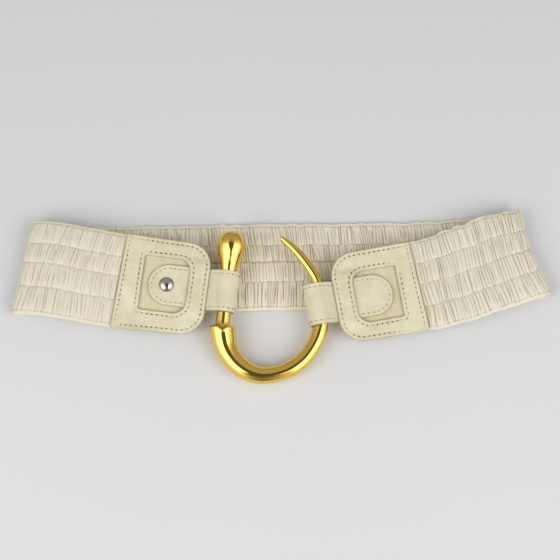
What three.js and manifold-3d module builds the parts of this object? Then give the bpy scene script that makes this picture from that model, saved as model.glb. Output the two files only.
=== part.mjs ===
// A waist belt of gathered leather, fastened with a metal hook and lying flat on a table.
// The band runs as one loop from the left tab, round the left fold, along the back, round the
// right fold and up to the right tab. Each tab holds a strap that goes round the hook.
// Millimetres, +X to the right, +Y across the band to its top edge, +Z up off the table.

import * as THREE from 'three';
import { mergeVertices } from 'three/addons/utils/BufferGeometryUtils.js';
import Module from 'manifold-3d';

const wasm = await Module();
wasm.setup();

// The gathered band
const foldedLength = 415;
const bandWidth = 72;
const puffThickness = 4.4;
const seamThickness = 2;
const foldRadius = 6.7;
const gatherPitch = 10.4;
const gatherDepth = 0.9;
const hemWave = 0.5;
const hemWaveLength = 27;

// The leather tabs
const leather = 1.5;
const gap = 0.3;
const tabLength = 66.9;
const tabWidth = 72;
const buckleBar = 15.2;
const windowLength = 35.7;
const windowWidth = 41.8;
const tabCorner = 18.5;
const windowCorner = 9;
const sharpCorner = 1.5;
const bandTuck = 6;
const bandSkew = 3;
const archClear = 1.8;
const archSlope = 7;
const archTail = 3;

// The straps round the hook
const strapWidth = 31.8;
const tongueClear = 5;
const strapReturn = 30;
const strapPlay = 1.1;
const strapSlack = 5.9;

// The snap
const snapDiameter = 11;
const snapHeight = 2.4;
const snapRim = 0.6;
const snapPost = 3;
const snapForward = 1.7;

// The hook
const hookWidth = 91;
const hornHeight = 105;
const stemLength = 75.9;
const stemLean = 5.8;
const stemDiameter = 11.6;
const stemNeck = 10.8;
const hornDiameter = 20.4;
const tipDiameter = 2.8;
const knobDiameter = 21.6;
const collarStep = 1.4;
const hookSides = 14;
const stemGripShare = 0.36;
const armGripAt = 0.593;

// How the front lies on the back
const frontLean = 6.5;
const frontPivot = 7.5;
const hookPlaceX = -45.9;
const hookPlaceY = -33.8;
const foldDrift = 2.5;
const tableClear = 0.25;
const backY = 25.95;

// Rows of puffs across the band: where each stitched row lies, as a share of the band's width.
const stitchRows = [0.035, 0.248, 0.452, 0.7, 0.957];
const puffShoulders = [0.26, 0.74];

// The horn's centre line from the collar to the tip. across and along are measured from the foot
// of the stem, as shares of the hook's width and the horn's height. thick is a share of the
// horn's diameter.
const hornRows = [
  { across: 0, along: 0, thick: 0.99 },
  { across: 0.012, along: -0.07, thick: 0.92 },
  { across: 0.031, along: -0.137, thick: 0.85 },
  { across: 0.071, along: -0.201, thick: 0.795 },
  { across: 0.132, along: -0.262, thick: 0.755 },
  { across: 0.212, along: -0.31, thick: 0.705 },
  { across: 0.301, along: -0.337, thick: 0.65 },
  { across: 0.393, along: -0.338, thick: 0.615 },
  { across: 0.515, along: -0.312, thick: 0.595 },
  { across: 0.608, along: -0.27, thick: 0.6 },
  { across: 0.688, along: -0.21, thick: 0.598 },
  { across: 0.746, along: -0.141, thick: 0.59 },
  { across: 0.79, along: -0.067, thick: 0.588 },
  { across: 0.818, along: 0.02, thick: 0.58 },
  { across: 0.826, along: 0.096, thick: 0.55 },
  { across: 0.822, along: 0.188, thick: 0.49 },
  { across: 0.807, along: 0.285, thick: 0.42 },
  { across: 0.789, along: 0.356, thick: 0.385 },
  { across: 0.759, along: 0.406, thick: 0.363 },
  { across: 0.705, along: 0.475, thick: 0.34 },
  { across: 0.645, along: 0.541, thick: 0.312 },
  { across: 0.571, along: 0.607, thick: 0.262 },
  { across: 0.498, along: 0.66, thick: 0.17 },
];

// The knob, from its neck to its top: back is how far a section lies from the stem's top, and
// thick its diameter, both as shares of the knob's diameter.
const knobRows = [
  { back: 1.46, thick: 0.56 },
  { back: 1.16, thick: 0.68 },
  { back: 1.01, thick: 0.77 },
  { back: 0.865, thick: 0.87 },
  { back: 0.72, thick: 0.95 },
  { back: 0.57, thick: 1 },
  { back: 0.42, thick: 0.99 },
  { back: 0.28, thick: 0.93 },
  { back: 0.15, thick: 0.76 },
  { back: 0.06, thick: 0.52 },
  { back: 0.02, thick: 0.3 },
];
const neckBack = 1.75;

// The step from the stem to the horn: up is a share of the collar's step, and the radius is the
// sum of the shares of the stem's and the horn's diameters.
const collarRows = [
  { up: 2.5, stem: 0.5, horn: 0 },
  { up: 1.4, stem: 0.55, horn: 0 },
  { up: 1, stem: 0, horn: 0.36 },
  { up: 0.75, stem: 0, horn: 0.47 },
];

// The round point of the tip: out as a share of its diameter, thick as a share of its radius.
const tipRows = [
  { out: 0.35, thick: 0.85 },
  { out: 0.5, thick: 0.4 },
];

// The two halves of the belt. turn is the tab's slope in the front plane, in degrees. The shares
// fit the tab's length, its ends and its window to the pull of the band on that side, and
// windowShift is how far the window and the strap lie above the tab's middle. fold is the end of
// the belt: its height across and its width as shares of the band's width, its lean and slope in
// degrees. armSwell is how much wider the arm is half way.
const halves = {
  left: {
    hand: 1,
    turn: -7,
    longShare: 1,
    bandEndShare: 1.02,
    buckleEndShare: 0.972,
    windowShare: 1,
    windowWidthShare: 1,
    windowShift: 0.8,
    foldY: 0.292,
    foldLean: 7.9,
    foldSlope: 1,
    foldRun: 0.8,
    foldShare: 1.04,
    armSwell: 0,
  },
  right: {
    hand: -1,
    turn: 9.9,
    longShare: 0.95,
    bandEndShare: 0.97,
    buckleEndShare: 0.956,
    windowShare: 0.96,
    windowWidthShare: 0.945,
    windowShift: -1.2,
    foldY: 0.444,
    foldLean: -15.5,
    foldSlope: 11,
    foldRun: 1,
    foldShare: 1,
    armSwell: 0.04,
  },
};

// The back of the loop between its folds. x is a share of half the folded length, drop a share of
// the band's width, lean is in degrees and wide is a share of the band's width.
const backRows = [
  { x: -0.695, drop: -0.062, lean: 3, wide: 1 },
  { x: -0.465, drop: -0.045, lean: 1.5, wide: 0.985 },
  { x: 0, drop: -0.01, lean: 0, wide: 0.97 },
  { x: 0.465, drop: 0, lean: -2, wide: 0.98 },
  { x: 0.68, drop: 0.035, lean: -5, wide: 0.99 },
];

// How many steps the round stretches take
const snapSides = 20;
const domeSteps = 4;
const tongueSteps = 8;
const loopSteps = 16;
const foldSteps = 8;
const hornSteps = 2 * (hornRows.length - 1);
const frameShares = [0, 0.35, 0.7, 1];

const toRadians = THREE.MathUtils.degToRad;
const mix = THREE.MathUtils.lerp;
const ease = THREE.MathUtils.smoothstep;
const vector = (x, y, z) => new THREE.Vector3(x, y, z);

const finishes = {
  band: { color: 0xe6dfce, roughness: 0.55, metalness: 0 },
  tab: { color: 0xdcd5b8, roughness: 0.6, metalness: 0 },
  strap: { color: 0xdfd8bd, roughness: 0.6, metalness: 0 },
  gold: { color: 0xe2ae4a, roughness: 0.15, metalness: 1 },
  silver: { color: 0xd4d6d8, roughness: 0.2, metalness: 1 },
};

// A mesh with its own material and its plain name.
function piece(name, geometry, finish) {
  const mesh = new THREE.Mesh(geometry, new THREE.MeshStandardMaterial(finishes[finish]));
  mesh.name = name;
  return mesh;
}

// Six times the volume that the triangles enclose, below zero where they face inwards.
function signedVolume(points, faces) {
  let sum = 0;
  for (let i = 0; i < faces.length; i += 3) {
    const [a, b, c] = [points[faces[i]], points[faces[i + 1]], points[faces[i + 2]]];
    sum += a.dot(b.clone().cross(c));
  }
  return sum;
}

// A geometry from points and triangles, turned so that its faces point out.
function closedGeometry(points, faces) {
  const outward = signedVolume(points, faces) > 0;
  const index = outward ? faces : faces.slice().reverse();
  const geometry = new THREE.BufferGeometry().setFromPoints(points);
  geometry.setIndex(index);
  geometry.computeVertexNormals();
  return geometry;
}

// The end face of a loft, in strips between facing points of its ring.
function endFace(start, count, last) {
  const faces = [];
  for (let i = 0; i < count / 2 - 1; i += 1) {
    const [a, b] = [start + i, start + i + 1];
    const [c, d] = [start + count - 2 - i, start + count - 1 - i];
    faces.push(...(last ? [a, b, c, a, c, d] : [a, c, b, a, d, c]));
  }
  return faces;
}

// A closed solid through rings of points. A joined loft runs from its last ring to its first.
function loft(rings, joined = false) {
  const count = rings[0].length;
  const faces = [];
  const spans = joined ? rings.length : rings.length - 1;
  for (let k = 0; k < spans; k += 1) {
    const here = k * count;
    const next = ((k + 1) % rings.length) * count;
    for (let i = 0; i < count; i += 1) {
      const j = (i + 1) % count;
      faces.push(here + i, here + j, next + j, here + i, next + j, next + i);
    }
  }
  if (!joined) {
    faces.push(...endFace(0, count, false), ...endFace((rings.length - 1) * count, count, true));
  }
  return closedGeometry(rings.flat(), faces);
}

// A closed geometry as a solid that can be cut.
function asSolid(geometry) {
  const bare = geometry.clone();
  bare.deleteAttribute('normal');
  bare.deleteAttribute('uv');
  const merged = mergeVertices(bare);
  const vertProperties = merged.attributes.position.array;
  const triVerts = new Uint32Array(merged.index.array);
  return new wasm.Manifold(new wasm.Mesh({ numProp: 3, vertProperties, triVerts }));
}

// The first geometry with the second one's shape cut out of it.
function cutOut(geometry, tool) {
  const mesh = asSolid(geometry).subtract(asSolid(tool)).getMesh();
  const cut = new THREE.BufferGeometry();
  cut.setAttribute('position', new THREE.BufferAttribute(mesh.vertProperties, 3));
  cut.setIndex(new THREE.BufferAttribute(mesh.triVerts, 1));
  cut.computeVertexNormals();
  return cut;
}

// The hook: a horn that bends round from its collar to its tip, with a stem and a knob.
const hornCurve = new THREE.CatmullRomCurve3(
  hornRows.map((row) => vector(row.across * hookWidth, row.along * hornHeight, 0)),
  false,
  'centripetal',
);
const stemWay = vector(Math.sin(toRadians(stemLean)), Math.cos(toRadians(stemLean)), 0);

// The horn's radius between two of its rows.
function hornRadius(t) {
  const place = t * (hornRows.length - 1);
  const low = Math.min(Math.floor(place), hornRows.length - 2);
  return 0.5 * hornDiameter * mix(hornRows[low].thick, hornRows[low + 1].thick, place - low);
}

// The stem and its knob, from the top down to the foot.
function stemStations() {
  const knob = knobRows.map((row) => ({
    up: stemLength - row.back * knobDiameter,
    radius: 0.5 * row.thick * knobDiameter,
  })).reverse();
  const neckUp = stemLength - neckBack * knobDiameter;
  const shaft = [
    { up: neckUp, radius: 0.5 * stemNeck },
    { up: 0.5 * neckUp, radius: 0.25 * (stemNeck + stemDiameter) },
  ];
  const collar = collarRows.map((row) => ({
    up: row.up * collarStep,
    radius: row.stem * stemDiameter + row.horn * hornDiameter,
  }));
  return [...knob, ...shaft, ...collar].map((station) => ({
    centre: stemWay.clone().multiplyScalar(station.up),
    along: stemWay.clone().negate(),
    radius: station.radius,
  }));
}

// The horn from its collar to its tip, with a small round point.
function hornStations() {
  const stations = [];
  for (let k = 0; k <= hornSteps; k += 1) {
    const t = k / hornSteps;
    const along = k === 0 ? stemWay.clone().negate() : hornCurve.getTangent(t);
    stations.push({ centre: hornCurve.getPoint(t), along, radius: hornRadius(t) });
  }
  const tip = stations[hornSteps];
  const point = tipRows.map((row) => ({
    centre: tip.centre.clone().addScaledVector(tip.along, row.out * tipDiameter),
    along: tip.along,
    radius: row.thick * tip.radius,
  }));
  return [...stations, ...point];
}

// A ring of points round one station of the hook.
function hookRing(station) {
  const side = vector(-station.along.y, station.along.x, 0).normalize();
  const ring = [];
  for (let i = 0; i < hookSides; i += 1) {
    const angle = (2 * Math.PI * i) / hookSides;
    const point = station.centre.clone().addScaledVector(side, station.radius * Math.cos(angle));
    point.z += station.radius * Math.sin(angle);
    ring.push(point);
  }
  return ring;
}

const hookStations = [...stemStations(), ...hornStations()];
const stemGrip = stemWay.clone().multiplyScalar(stemGripShare * stemLength);
const armGrip = hornCurve.getPoint(armGripAt);

// The strap's inner radius, so that it goes round the fattest metal that it holds.
const loopInner = 0.5 * Math.max(stemDiameter, 2 * hornRadius(armGripAt)) + strapPlay;
const loopOuter = loopInner + leather;
const loopReach = loopOuter + strapSlack;

// The height of a tab's upper layer, over the underside of its base.
const upperFloor = leather + gap;
const lean = toRadians(frontLean);

// The hook's place in the front plane, level with the middle of its straps.
const hookFoot = vector(hookPlaceX, hookPlaceY, upperFloor + leather);

// The front plane's height, so that the hook clears the table and the straps clear the back.
function frontHeight() {
  const overTable = hookStations.map((station) => (
    station.radius - (station.centre.y + hookFoot.y) * Math.sin(lean)
  ));
  const overBack = puffThickness + gap + loopOuter
    - (hookFoot.y + stemGrip.y - 0.5 * strapWidth) * Math.sin(lean);
  const lift = hookFoot.z * Math.cos(lean);
  return Math.max(Math.max(...overTable) + tableClear, overBack) - lift;
}

// The sizes of one tab, and the place of its buckle edge in the front plane.
function tabOf(half) {
  const turn = toRadians(half.turn);
  const inward = vector(Math.cos(turn), Math.sin(turn), 0).multiplyScalar(half.hand);
  const across = vector(-Math.sin(turn), Math.cos(turn), 0);
  const grip = half.hand > 0
    ? stemGrip.clone()
    : armGrip.clone().addScaledVector(across, 0.5 * strapWidth - half.windowShift);
  const place = grip.add(vector(hookFoot.x, hookFoot.y, 0)).addScaledVector(inward, -loopReach);
  return {
    turn,
    place,
    hand: half.hand,
    length: tabLength * half.longShare,
    bandEnd: tabWidth * half.bandEndShare,
    buckleEnd: tabWidth * half.buckleEndShare,
    windowLength: windowLength * half.windowShare,
    windowWidth: windowWidth * half.windowWidthShare,
    windowShift: half.windowShift,
  };
}

// An outline with rounded corners. Each corner gives its x, y and radius, and every corner and
// side gets the same number of steps whatever its size, so that two outlines can be joined.
function roundedOutline(corners, cornerSteps, sideSteps) {
  const fillets = corners.map((corner, i) => {
    const before = corners[(i + corners.length - 1) % corners.length];
    const after = corners[(i + 1) % corners.length];
    const toBefore = new THREE.Vector2(before.x - corner.x, before.y - corner.y).normalize();
    const toAfter = new THREE.Vector2(after.x - corner.x, after.y - corner.y).normalize();
    const half = 0.5 * Math.acos(toBefore.dot(toAfter));
    const centreWay = toBefore.clone().add(toAfter).normalize();
    const middle = new THREE.Vector2(corner.x, corner.y)
      .addScaledVector(centreWay, corner.radius / Math.sin(half));
    const reach = corner.radius / Math.tan(half);
    const start = new THREE.Vector2(corner.x, corner.y).addScaledVector(toBefore, reach);
    const end = new THREE.Vector2(corner.x, corner.y).addScaledVector(toAfter, reach);
    return { middle, start, end };
  });
  const points = [];
  fillets.forEach((fillet, i) => {
    const from = fillet.start.clone().sub(fillet.middle);
    const to = fillet.end.clone().sub(fillet.middle);
    const sweep = Math.atan2(from.cross(to), from.dot(to));
    for (let k = 0; k < cornerSteps; k += 1) {
      const spoke = from.clone().rotateAround(new THREE.Vector2(), (sweep * k) / cornerSteps);
      points.push(fillet.middle.clone().add(spoke));
    }
    const next = fillets[(i + 1) % fillets.length];
    for (let k = 0; k < sideSteps[i]; k += 1) {
      points.push(fillet.end.clone().lerp(next.start, k / sideSteps[i]));
    }
  });
  return points;
}

// The corners of a tab or its window, from the top at the band, round by the buckle. x runs from
// the buckle edge, and is below zero inside a left tab.
function patchCorners(tab, box, bandRadius, buckleRadius) {
  const side = (x, share, radius) => ({ x: x * tab.hand, y: box.shift + share * box.width(x), radius });
  return [
    side(box.bandX, 0.5, bandRadius),
    side(box.buckleX, 0.5, buckleRadius),
    side(box.buckleX, -0.5, buckleRadius),
    side(box.bandX - box.skew, -0.5, bandRadius),
  ];
}

const outlineSteps = { corner: 4, sides: [5, 8, 5, 4] };

// The outer outline of a tab's frame or base, starting at a given place along it. skew is how much
// further out its lower corner lies at the band.
function tabOutline(tab, bandX, skew) {
  const width = (x) => mix(tab.buckleEnd, tab.bandEnd, -x / tab.length);
  const corners = patchCorners(
    tab,
    { bandX, skew, buckleX: 0, shift: 0, width },
    sharpCorner,
    tabCorner,
  );
  return roundedOutline(corners, outlineSteps.corner, outlineSteps.sides);
}

// The window's outline, with as many points as the tab's.
function windowOutline(tab) {
  const corners = patchCorners(
    tab,
    {
      bandX: -buckleBar - tab.windowLength,
      skew: 0,
      buckleX: -buckleBar,
      shift: tab.windowShift,
      width: () => tab.windowWidth,
    },
    sharpCorner,
    windowCorner,
  );
  return roundedOutline(corners, outlineSteps.corner, outlineSteps.sides);
}

// How far the frame rises to pass over the strap, at a place on the tab.
function frameRise(tab, point) {
  const fromBuckle = -point.x * tab.hand;
  const shoulder = 0.5 * strapWidth + archClear;
  const acrossShare = 1 - ease(Math.abs(point.y - tab.windowShift), shoulder, shoulder + archSlope);
  const alongShare = 1 - ease(fromBuckle, buckleBar + archTail, buckleBar + windowCorner);
  return (leather + gap) * acrossShare * alongShare;
}

// The frame: a plate with a window, which arches over the strap at its buckle end.
function frameGeometry(tab) {
  const outer = tabOutline(tab, -tab.length, bandSkew);
  const inner = windowOutline(tab);
  const rings = outer.map((edge, i) => {
    const places = frameShares.map((share) => edge.clone().lerp(inner[i], share));
    const under = places.map((p) => vector(p.x, p.y, upperFloor + frameRise(tab, p)));
    const over = under.map((p) => vector(p.x, p.y, p.z + leather)).reverse();
    return [...under, ...over];
  });
  return loft(rings, true);
}

// The base under the frame, from the end of the tucked band to the buckle edge.
function baseGeometry(tab) {
  const outline = tabOutline(tab, -tab.length + bandTuck + gap, 0);
  const shape = new THREE.Shape(outline);
  return new THREE.ExtrudeGeometry(shape, { depth: leather, bevelEnabled: false });
}

// The middle line of a strap, seen from the side, from the tongue's end in the window, round the
// hook, to the end of its return under the tab. x runs from the tab's buckle edge.
function strapPath(tab) {
  const start = -(buckleBar + tab.windowLength - tongueClear);
  const radius = loopInner + 0.5 * leather;
  const over = upperFloor + 0.5 * leather;
  const under = -gap - 0.5 * leather;
  const centre = new THREE.Vector2(loopReach, upperFloor + leather);
  const leave = gap;
  const tangent = (height, side) => {
    const way = new THREE.Vector2(centre.x - leave, centre.y - height);
    return Math.atan2(way.y, way.x) + side * Math.asin(radius / way.length());
  };
  const path = [];
  const half = 0.5 * strapWidth;
  for (let k = 1; k <= tongueSteps; k += 1) {
    path.push(new THREE.Vector2(start + half * (1 - Math.cos((0.5 * Math.PI * k) / tongueSteps)), over));
  }
  path.push(new THREE.Vector2(mix(path.at(-1).x, leave, 0.5), over));
  path.push(new THREE.Vector2(leave, over));
  const arcStart = 0.5 * Math.PI + tangent(over, 1);
  const arcEnd = -0.5 * Math.PI + tangent(under, -1);
  for (let k = 0; k <= loopSteps; k += 1) {
    const angle = mix(arcStart, arcEnd, k / loopSteps);
    path.push(new THREE.Vector2(
      centre.x + radius * Math.cos(angle),
      centre.y + radius * Math.sin(angle),
    ));
  }
  path.push(new THREE.Vector2(leave, under));
  path.push(new THREE.Vector2(mix(leave, -strapReturn, 0.5), under));
  path.push(new THREE.Vector2(-strapReturn, under));
  return { path, half, start };
}

// The half width of a strap at a place on its path: a half circle at the tongue's end.
function strapHalfWidth(route, k) {
  if (k >= tongueSteps) {
    return route.half;
  }
  const into = route.path[k].x - route.start;
  return Math.sqrt(route.half ** 2 - (route.half - into) ** 2);
}

// A strap as one ribbon along its path.
function strapGeometry(tab) {
  const route = strapPath(tab);
  const { path } = route;
  const rings = path.map((point, k) => {
    const before = path[Math.max(k - 1, 0)];
    const after = path[Math.min(k + 1, path.length - 1)];
    const along = after.clone().sub(before).normalize();
    const normal = new THREE.Vector2(-along.y, along.x).multiplyScalar(0.5 * leather);
    const half = strapHalfWidth(route, k);
    const corner = (side, face) => vector(
      (point.x + face * normal.x) * tab.hand,
      tab.windowShift + side * half,
      point.y + face * normal.y,
    );
    return [corner(1, 1), corner(-1, 1), corner(-1, -1), corner(1, -1)];
  });
  return loft(rings);
}

// The snap's place on the tongue, a little past the middle of its round end.
function snapX(tab) {
  return -(buckleBar + tab.windowLength - tongueClear - 0.5 * strapWidth + snapForward);
}

// The snap: a domed cap with a post through the tongue, turned about its own axis.
function snapGeometry() {
  const radius = 0.5 * snapDiameter;
  const post = 0.5 * snapPost;
  const profile = [
    new THREE.Vector2(0, -leather),
    new THREE.Vector2(post, -leather),
    new THREE.Vector2(post, gap),
    new THREE.Vector2(radius - 0.5 * snapRim, gap),
    new THREE.Vector2(radius, gap + snapRim),
  ];
  for (let k = 1; k <= domeSteps; k += 1) {
    const angle = (0.5 * Math.PI * k) / domeSteps;
    const out = k === domeSteps ? 0 : radius * Math.cos(angle);
    profile.push(new THREE.Vector2(out, gap + snapRim + (snapHeight - snapRim) * Math.sin(angle)));
  }
  return new THREE.LatheGeometry(profile, snapSides).rotateX(0.5 * Math.PI);
}

// The hole for the snap's post.
function snapHole() {
  const radius = 0.5 * snapPost + gap;
  return new THREE.CylinderGeometry(radius, radius, 3 * leather, snapSides).rotateX(0.5 * Math.PI);
}

// The front plane leans back, because its lower edge hangs past the edge of the back.
const front = new THREE.Group();
front.position.set(0, frontPivot, frontHeight());
front.rotation.x = lean;

const hook = piece('hook', loft(hookStations.map(hookRing)), 'gold');
hook.position.copy(hookFoot);
front.add(hook);

// One tab with its frame, base and strap, in a group at its buckle edge.
function buildTab(side) {
  const tab = tabOf(halves[side]);
  const group = new THREE.Group();
  group.position.copy(tab.place);
  group.rotation.z = tab.turn;
  group.add(piece(`tab_frame_${side}`, frameGeometry(tab), 'tab'));
  group.add(piece(`tab_base_${side}`, baseGeometry(tab), 'tab'));
  let strap = strapGeometry(tab);
  if (side === 'left') {
    const place = [snapX(tab), tab.windowShift, upperFloor + leather];
    strap = cutOut(strap, snapHole().translate(...place));
    const snap = piece('snap_cap', snapGeometry(), 'silver');
    snap.position.set(...place);
    group.add(snap);
  }
  group.add(piece(`loop_strap_${side}`, strap, 'strap'));
  front.add(group);
  group.updateWorldMatrix(true, true);
  return { tab, group };
}

const tabs = { left: buildTab('left'), right: buildTab('right') };

// A station of the band: its centre, the unit line across it, its width, how much of its puffs is
// left, and whether it lies on the table.
function station(centre, across, width, puff, lying) {
  return { centre, across: across.clone().normalize(), width, puff, lying };
}

// The smooth curve from one place and direction to another.
function hermite(from, fromWay, to, toWay, t) {
  const [a, b] = [2 * t ** 3 - 3 * t ** 2 + 1, t ** 3 - 2 * t ** 2 + t];
  const [c, d] = [-2 * t ** 3 + 3 * t ** 2, t ** 3 - t ** 2];
  return from.clone().multiplyScalar(a)
    .addScaledVector(fromWay, b)
    .addScaledVector(to, c)
    .addScaledVector(toWay, d);
}

// The axis of a fold, the way out of it and the way across it. The lower end of the fold drifts
// towards the band's top edge.
function foldOf(half) {
  const slope = toRadians(half.foldSlope);
  const leaning = toRadians(half.foldLean);
  const out = vector(-Math.cos(slope), -Math.sin(slope), 0).multiplyScalar(half.hand);
  const across = vector(Math.sin(leaning), Math.cos(leaning), 0);
  const silhouette = 0.5 * foldedLength - 0.5 * bandWidth * Math.abs(Math.sin(leaning));
  const reach = silhouette - foldRadius - 0.5 * puffThickness;
  const height = 0.5 * puffThickness + foldRadius;
  const axis = vector(-reach * half.hand, half.foldY * bandWidth, height);
  const foot = axis.clone().add(vector(0, foldDrift, -foldRadius));
  return { out, across, axis, foot };
}

// The front arm of one half, from its end under the tab to the top of its fold.
function armStations(side) {
  const half = halves[side];
  const { tab, group } = tabs[side];
  const fold = foldOf(half);
  const middle = upperFloor - gap - 0.5 * seamThickness;
  const edge = -tab.length - bandSkew;
  const local = (x) => vector(x * tab.hand, 0, middle).applyMatrix4(group.matrixWorld);
  const outward = vector(-tab.hand, 0, 0).transformDirection(group.matrixWorld);
  const across = vector(0, 1, 0).transformDirection(group.matrixWorld);
  const flat = [-tab.length + bandTuck, -tab.length, edge + gap].map((x) => (
    station(local(x), across, tab.bandEnd, 0, false)
  ));
  const from = local(edge);
  const to = fold.axis.clone().add(vector(0, 0, foldRadius));
  const run = from.distanceTo(to);
  const steps = 2 * Math.round(run / gatherPitch);
  const arm = [];
  for (let k = 1; k < steps; k += 1) {
    const t = k / steps;
    const centre = hermite(
      from,
      outward.clone().multiplyScalar(run),
      to,
      fold.out.clone().multiplyScalar(half.foldRun * run),
      t,
    );
    const width = mix(tab.bandEnd, half.foldShare * bandWidth, ease(t, 0, 1))
      + half.armSwell * bandWidth * Math.sin(Math.PI * t);
    const way = across.clone().lerp(fold.across, t);
    arm.push(station(centre, way, width, Math.min(1, 0.5 * k), false));
  }
  return [...flat, ...arm];
}

// The turn at one end of the loop, from the top of the fold down to the table.
function foldStations(side) {
  const half = halves[side];
  const fold = foldOf(half);
  const turns = [];
  for (let k = 0; k <= foldSteps; k += 1) {
    const angle = (Math.PI * k) / foldSteps;
    const centre = fold.axis.clone()
      .addScaledVector(fold.out, foldRadius * Math.sin(angle))
      .add(vector(0, (foldDrift * k) / foldSteps, foldRadius * Math.cos(angle)));
    turns.push(station(centre, fold.across, half.foldShare * bandWidth, 1, k === foldSteps));
  }
  return turns;
}

// The back of the loop, from the left fold to the right fold.
function backStations() {
  const ends = [foldOf(halves.left), foldOf(halves.right)];
  const rows = backRows.map((row) => ({
    centre: vector(0.5 * row.x * foldedLength, backY + row.drop * bandWidth, 0.5 * puffThickness),
    lean: row.lean,
    wide: row.wide,
  }));
  const endRow = (fold, half) => ({
    centre: fold.foot,
    lean: half.foldLean,
    wide: half.foldShare,
  });
  rows.unshift(endRow(ends[0], halves.left));
  rows.push(endRow(ends[1], halves.right));
  const curve = new THREE.CatmullRomCurve3(rows.map((row) => row.centre), false, 'centripetal');
  const steps = 2 * Math.round(curve.getLength() / gatherPitch);
  const stations = [];
  for (let k = 1; k < steps; k += 1) {
    const t = curve.getUtoTmapping(k / steps);
    const place = t * (rows.length - 1);
    const low = Math.min(Math.floor(place), rows.length - 2);
    const share = ease(place - low, 0, 1);
    const leaning = toRadians(mix(rows[low].lean, rows[low + 1].lean, share));
    const width = bandWidth * mix(rows[low].wide, rows[low + 1].wide, share);
    const across = vector(Math.sin(leaning), Math.cos(leaning), 0);
    stations.push(station(curve.getPoint(t), across, width, 1, true));
  }
  return stations;
}

// The places across the band, from its top edge: hems, stitched rows and the shoulders of puffs.
function acrossPlaces() {
  const places = [{ share: 0, puff: 0 }];
  stitchRows.forEach((row, i) => {
    places.push({ share: row, puff: 0 });
    if (i < stitchRows.length - 1) {
      puffShoulders.forEach((shoulder) => {
        places.push({ share: mix(row, stitchRows[i + 1], shoulder), puff: 1 });
      });
    }
  });
  places.push({ share: 1, puff: 0 });
  return places;
}

// One closed ring of the band: its outer face from top to bottom, then its inner face back.
function bandRing(here, k, along) {
  const normal = along.clone().cross(here.across).normalize();
  const gathered = k % 2 === 0 ? 1 : 1 - gatherDepth / (puffThickness - seamThickness);
  const distance = 0.5 * gatherPitch * k;
  const face = (place, side) => {
    const pressed = here.lying && side < 0;
    const crest = pressed ? 1 : gathered;
    const lift = 0.5 * (seamThickness + place.puff * here.puff * crest * (puffThickness - seamThickness));
    const wave = hemWave * Math.sin((2 * Math.PI * distance) / hemWaveLength + 4 * place.share);
    const point = here.centre.clone()
      .addScaledVector(here.across, (0.5 - place.share) * here.width + here.puff * wave)
      .addScaledVector(normal, side * lift);
    point.z = Math.max(point.z, 0);
    return point;
  };
  const places = acrossPlaces();
  const outer = places.map((place) => face(place, 1));
  const inner = places.map((place) => face(place, -1)).reverse();
  return [...outer, ...inner];
}

// The whole band as one solid.
function bandGeometry() {
  const right = [...armStations('right'), ...foldStations('right')].reverse();
  const stations = [
    ...armStations('left'),
    ...foldStations('left'),
    ...backStations(),
    ...right,
  ];
  const rings = stations.map((here, k) => {
    const before = stations[Math.max(k - 1, 0)].centre;
    const after = stations[Math.min(k + 1, stations.length - 1)].centre;
    return bandRing(here, k, after.clone().sub(before).normalize());
  });
  return loft(rings);
}

const belt = new THREE.Group();
belt.add(front);
belt.add(piece('shirred_band', bandGeometry(), 'band'));
belt.updateMatrixWorld(true);

// The belt's own origin is under the middle of its box, on the table.
const box = new THREE.Box3().setFromObject(belt, true);
const middle = box.getCenter(vector(0, 0, 0));
belt.position.set(-middle.x, -middle.y, -box.min.z);

export default belt;
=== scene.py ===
"""The looks of a gathered leather waist belt with a horn-shaped hook, lying flat on a table."""

from __future__ import annotations

import logging
import math
from collections.abc import Sequence
from dataclasses import dataclass, field
from enum import Enum

import bpy
import numpy as np
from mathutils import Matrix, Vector

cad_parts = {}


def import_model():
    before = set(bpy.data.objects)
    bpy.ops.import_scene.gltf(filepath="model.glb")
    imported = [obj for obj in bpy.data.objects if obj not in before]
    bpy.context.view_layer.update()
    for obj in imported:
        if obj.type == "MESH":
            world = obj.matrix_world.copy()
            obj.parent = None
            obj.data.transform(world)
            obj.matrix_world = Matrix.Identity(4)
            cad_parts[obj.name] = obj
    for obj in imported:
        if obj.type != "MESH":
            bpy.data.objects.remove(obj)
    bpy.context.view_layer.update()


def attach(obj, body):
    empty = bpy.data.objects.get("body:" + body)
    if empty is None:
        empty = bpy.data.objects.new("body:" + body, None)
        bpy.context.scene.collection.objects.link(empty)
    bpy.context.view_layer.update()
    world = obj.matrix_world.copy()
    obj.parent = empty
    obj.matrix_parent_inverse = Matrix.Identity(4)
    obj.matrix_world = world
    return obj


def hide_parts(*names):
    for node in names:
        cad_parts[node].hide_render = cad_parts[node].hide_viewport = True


LOG = logging.getLogger("waist_belt")

# Sizes are in millimetres until a mesh is made, and a mesh is made in metres.
MM = 0.001
# How thick a layer of leather is, and how far apart sewn layers stand.
LEATHER = 1.5
GAP = 0.3
# The stitched rows, as shares of the band's width down from its top edge.
LEFT_ROWS = (0.033, 0.248, 0.455, 0.708, 0.963)
RIGHT_ROWS = (0.033, 0.257, 0.49, 0.733, 0.963)
BACK_ROWS = (0.041, 0.255, 0.447, 0.676, 0.963)
# The lines of one puffed row, as shares of the way from one stitched row to the next.
PUFF_LINES = (0.0, 0.035, 0.1, 0.2, 0.33, 0.5, 0.67, 0.8, 0.9, 0.965)
# Brings the middle of the belt's box over the origin.
ORIGIN_SHIFT = (0.2514, -0.8651, 0.0)


class Face(Enum):
    """The two faces of the band: the one that faces away from the waist and the one towards the waist."""

    OUTER = -1
    INNER = 1


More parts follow.
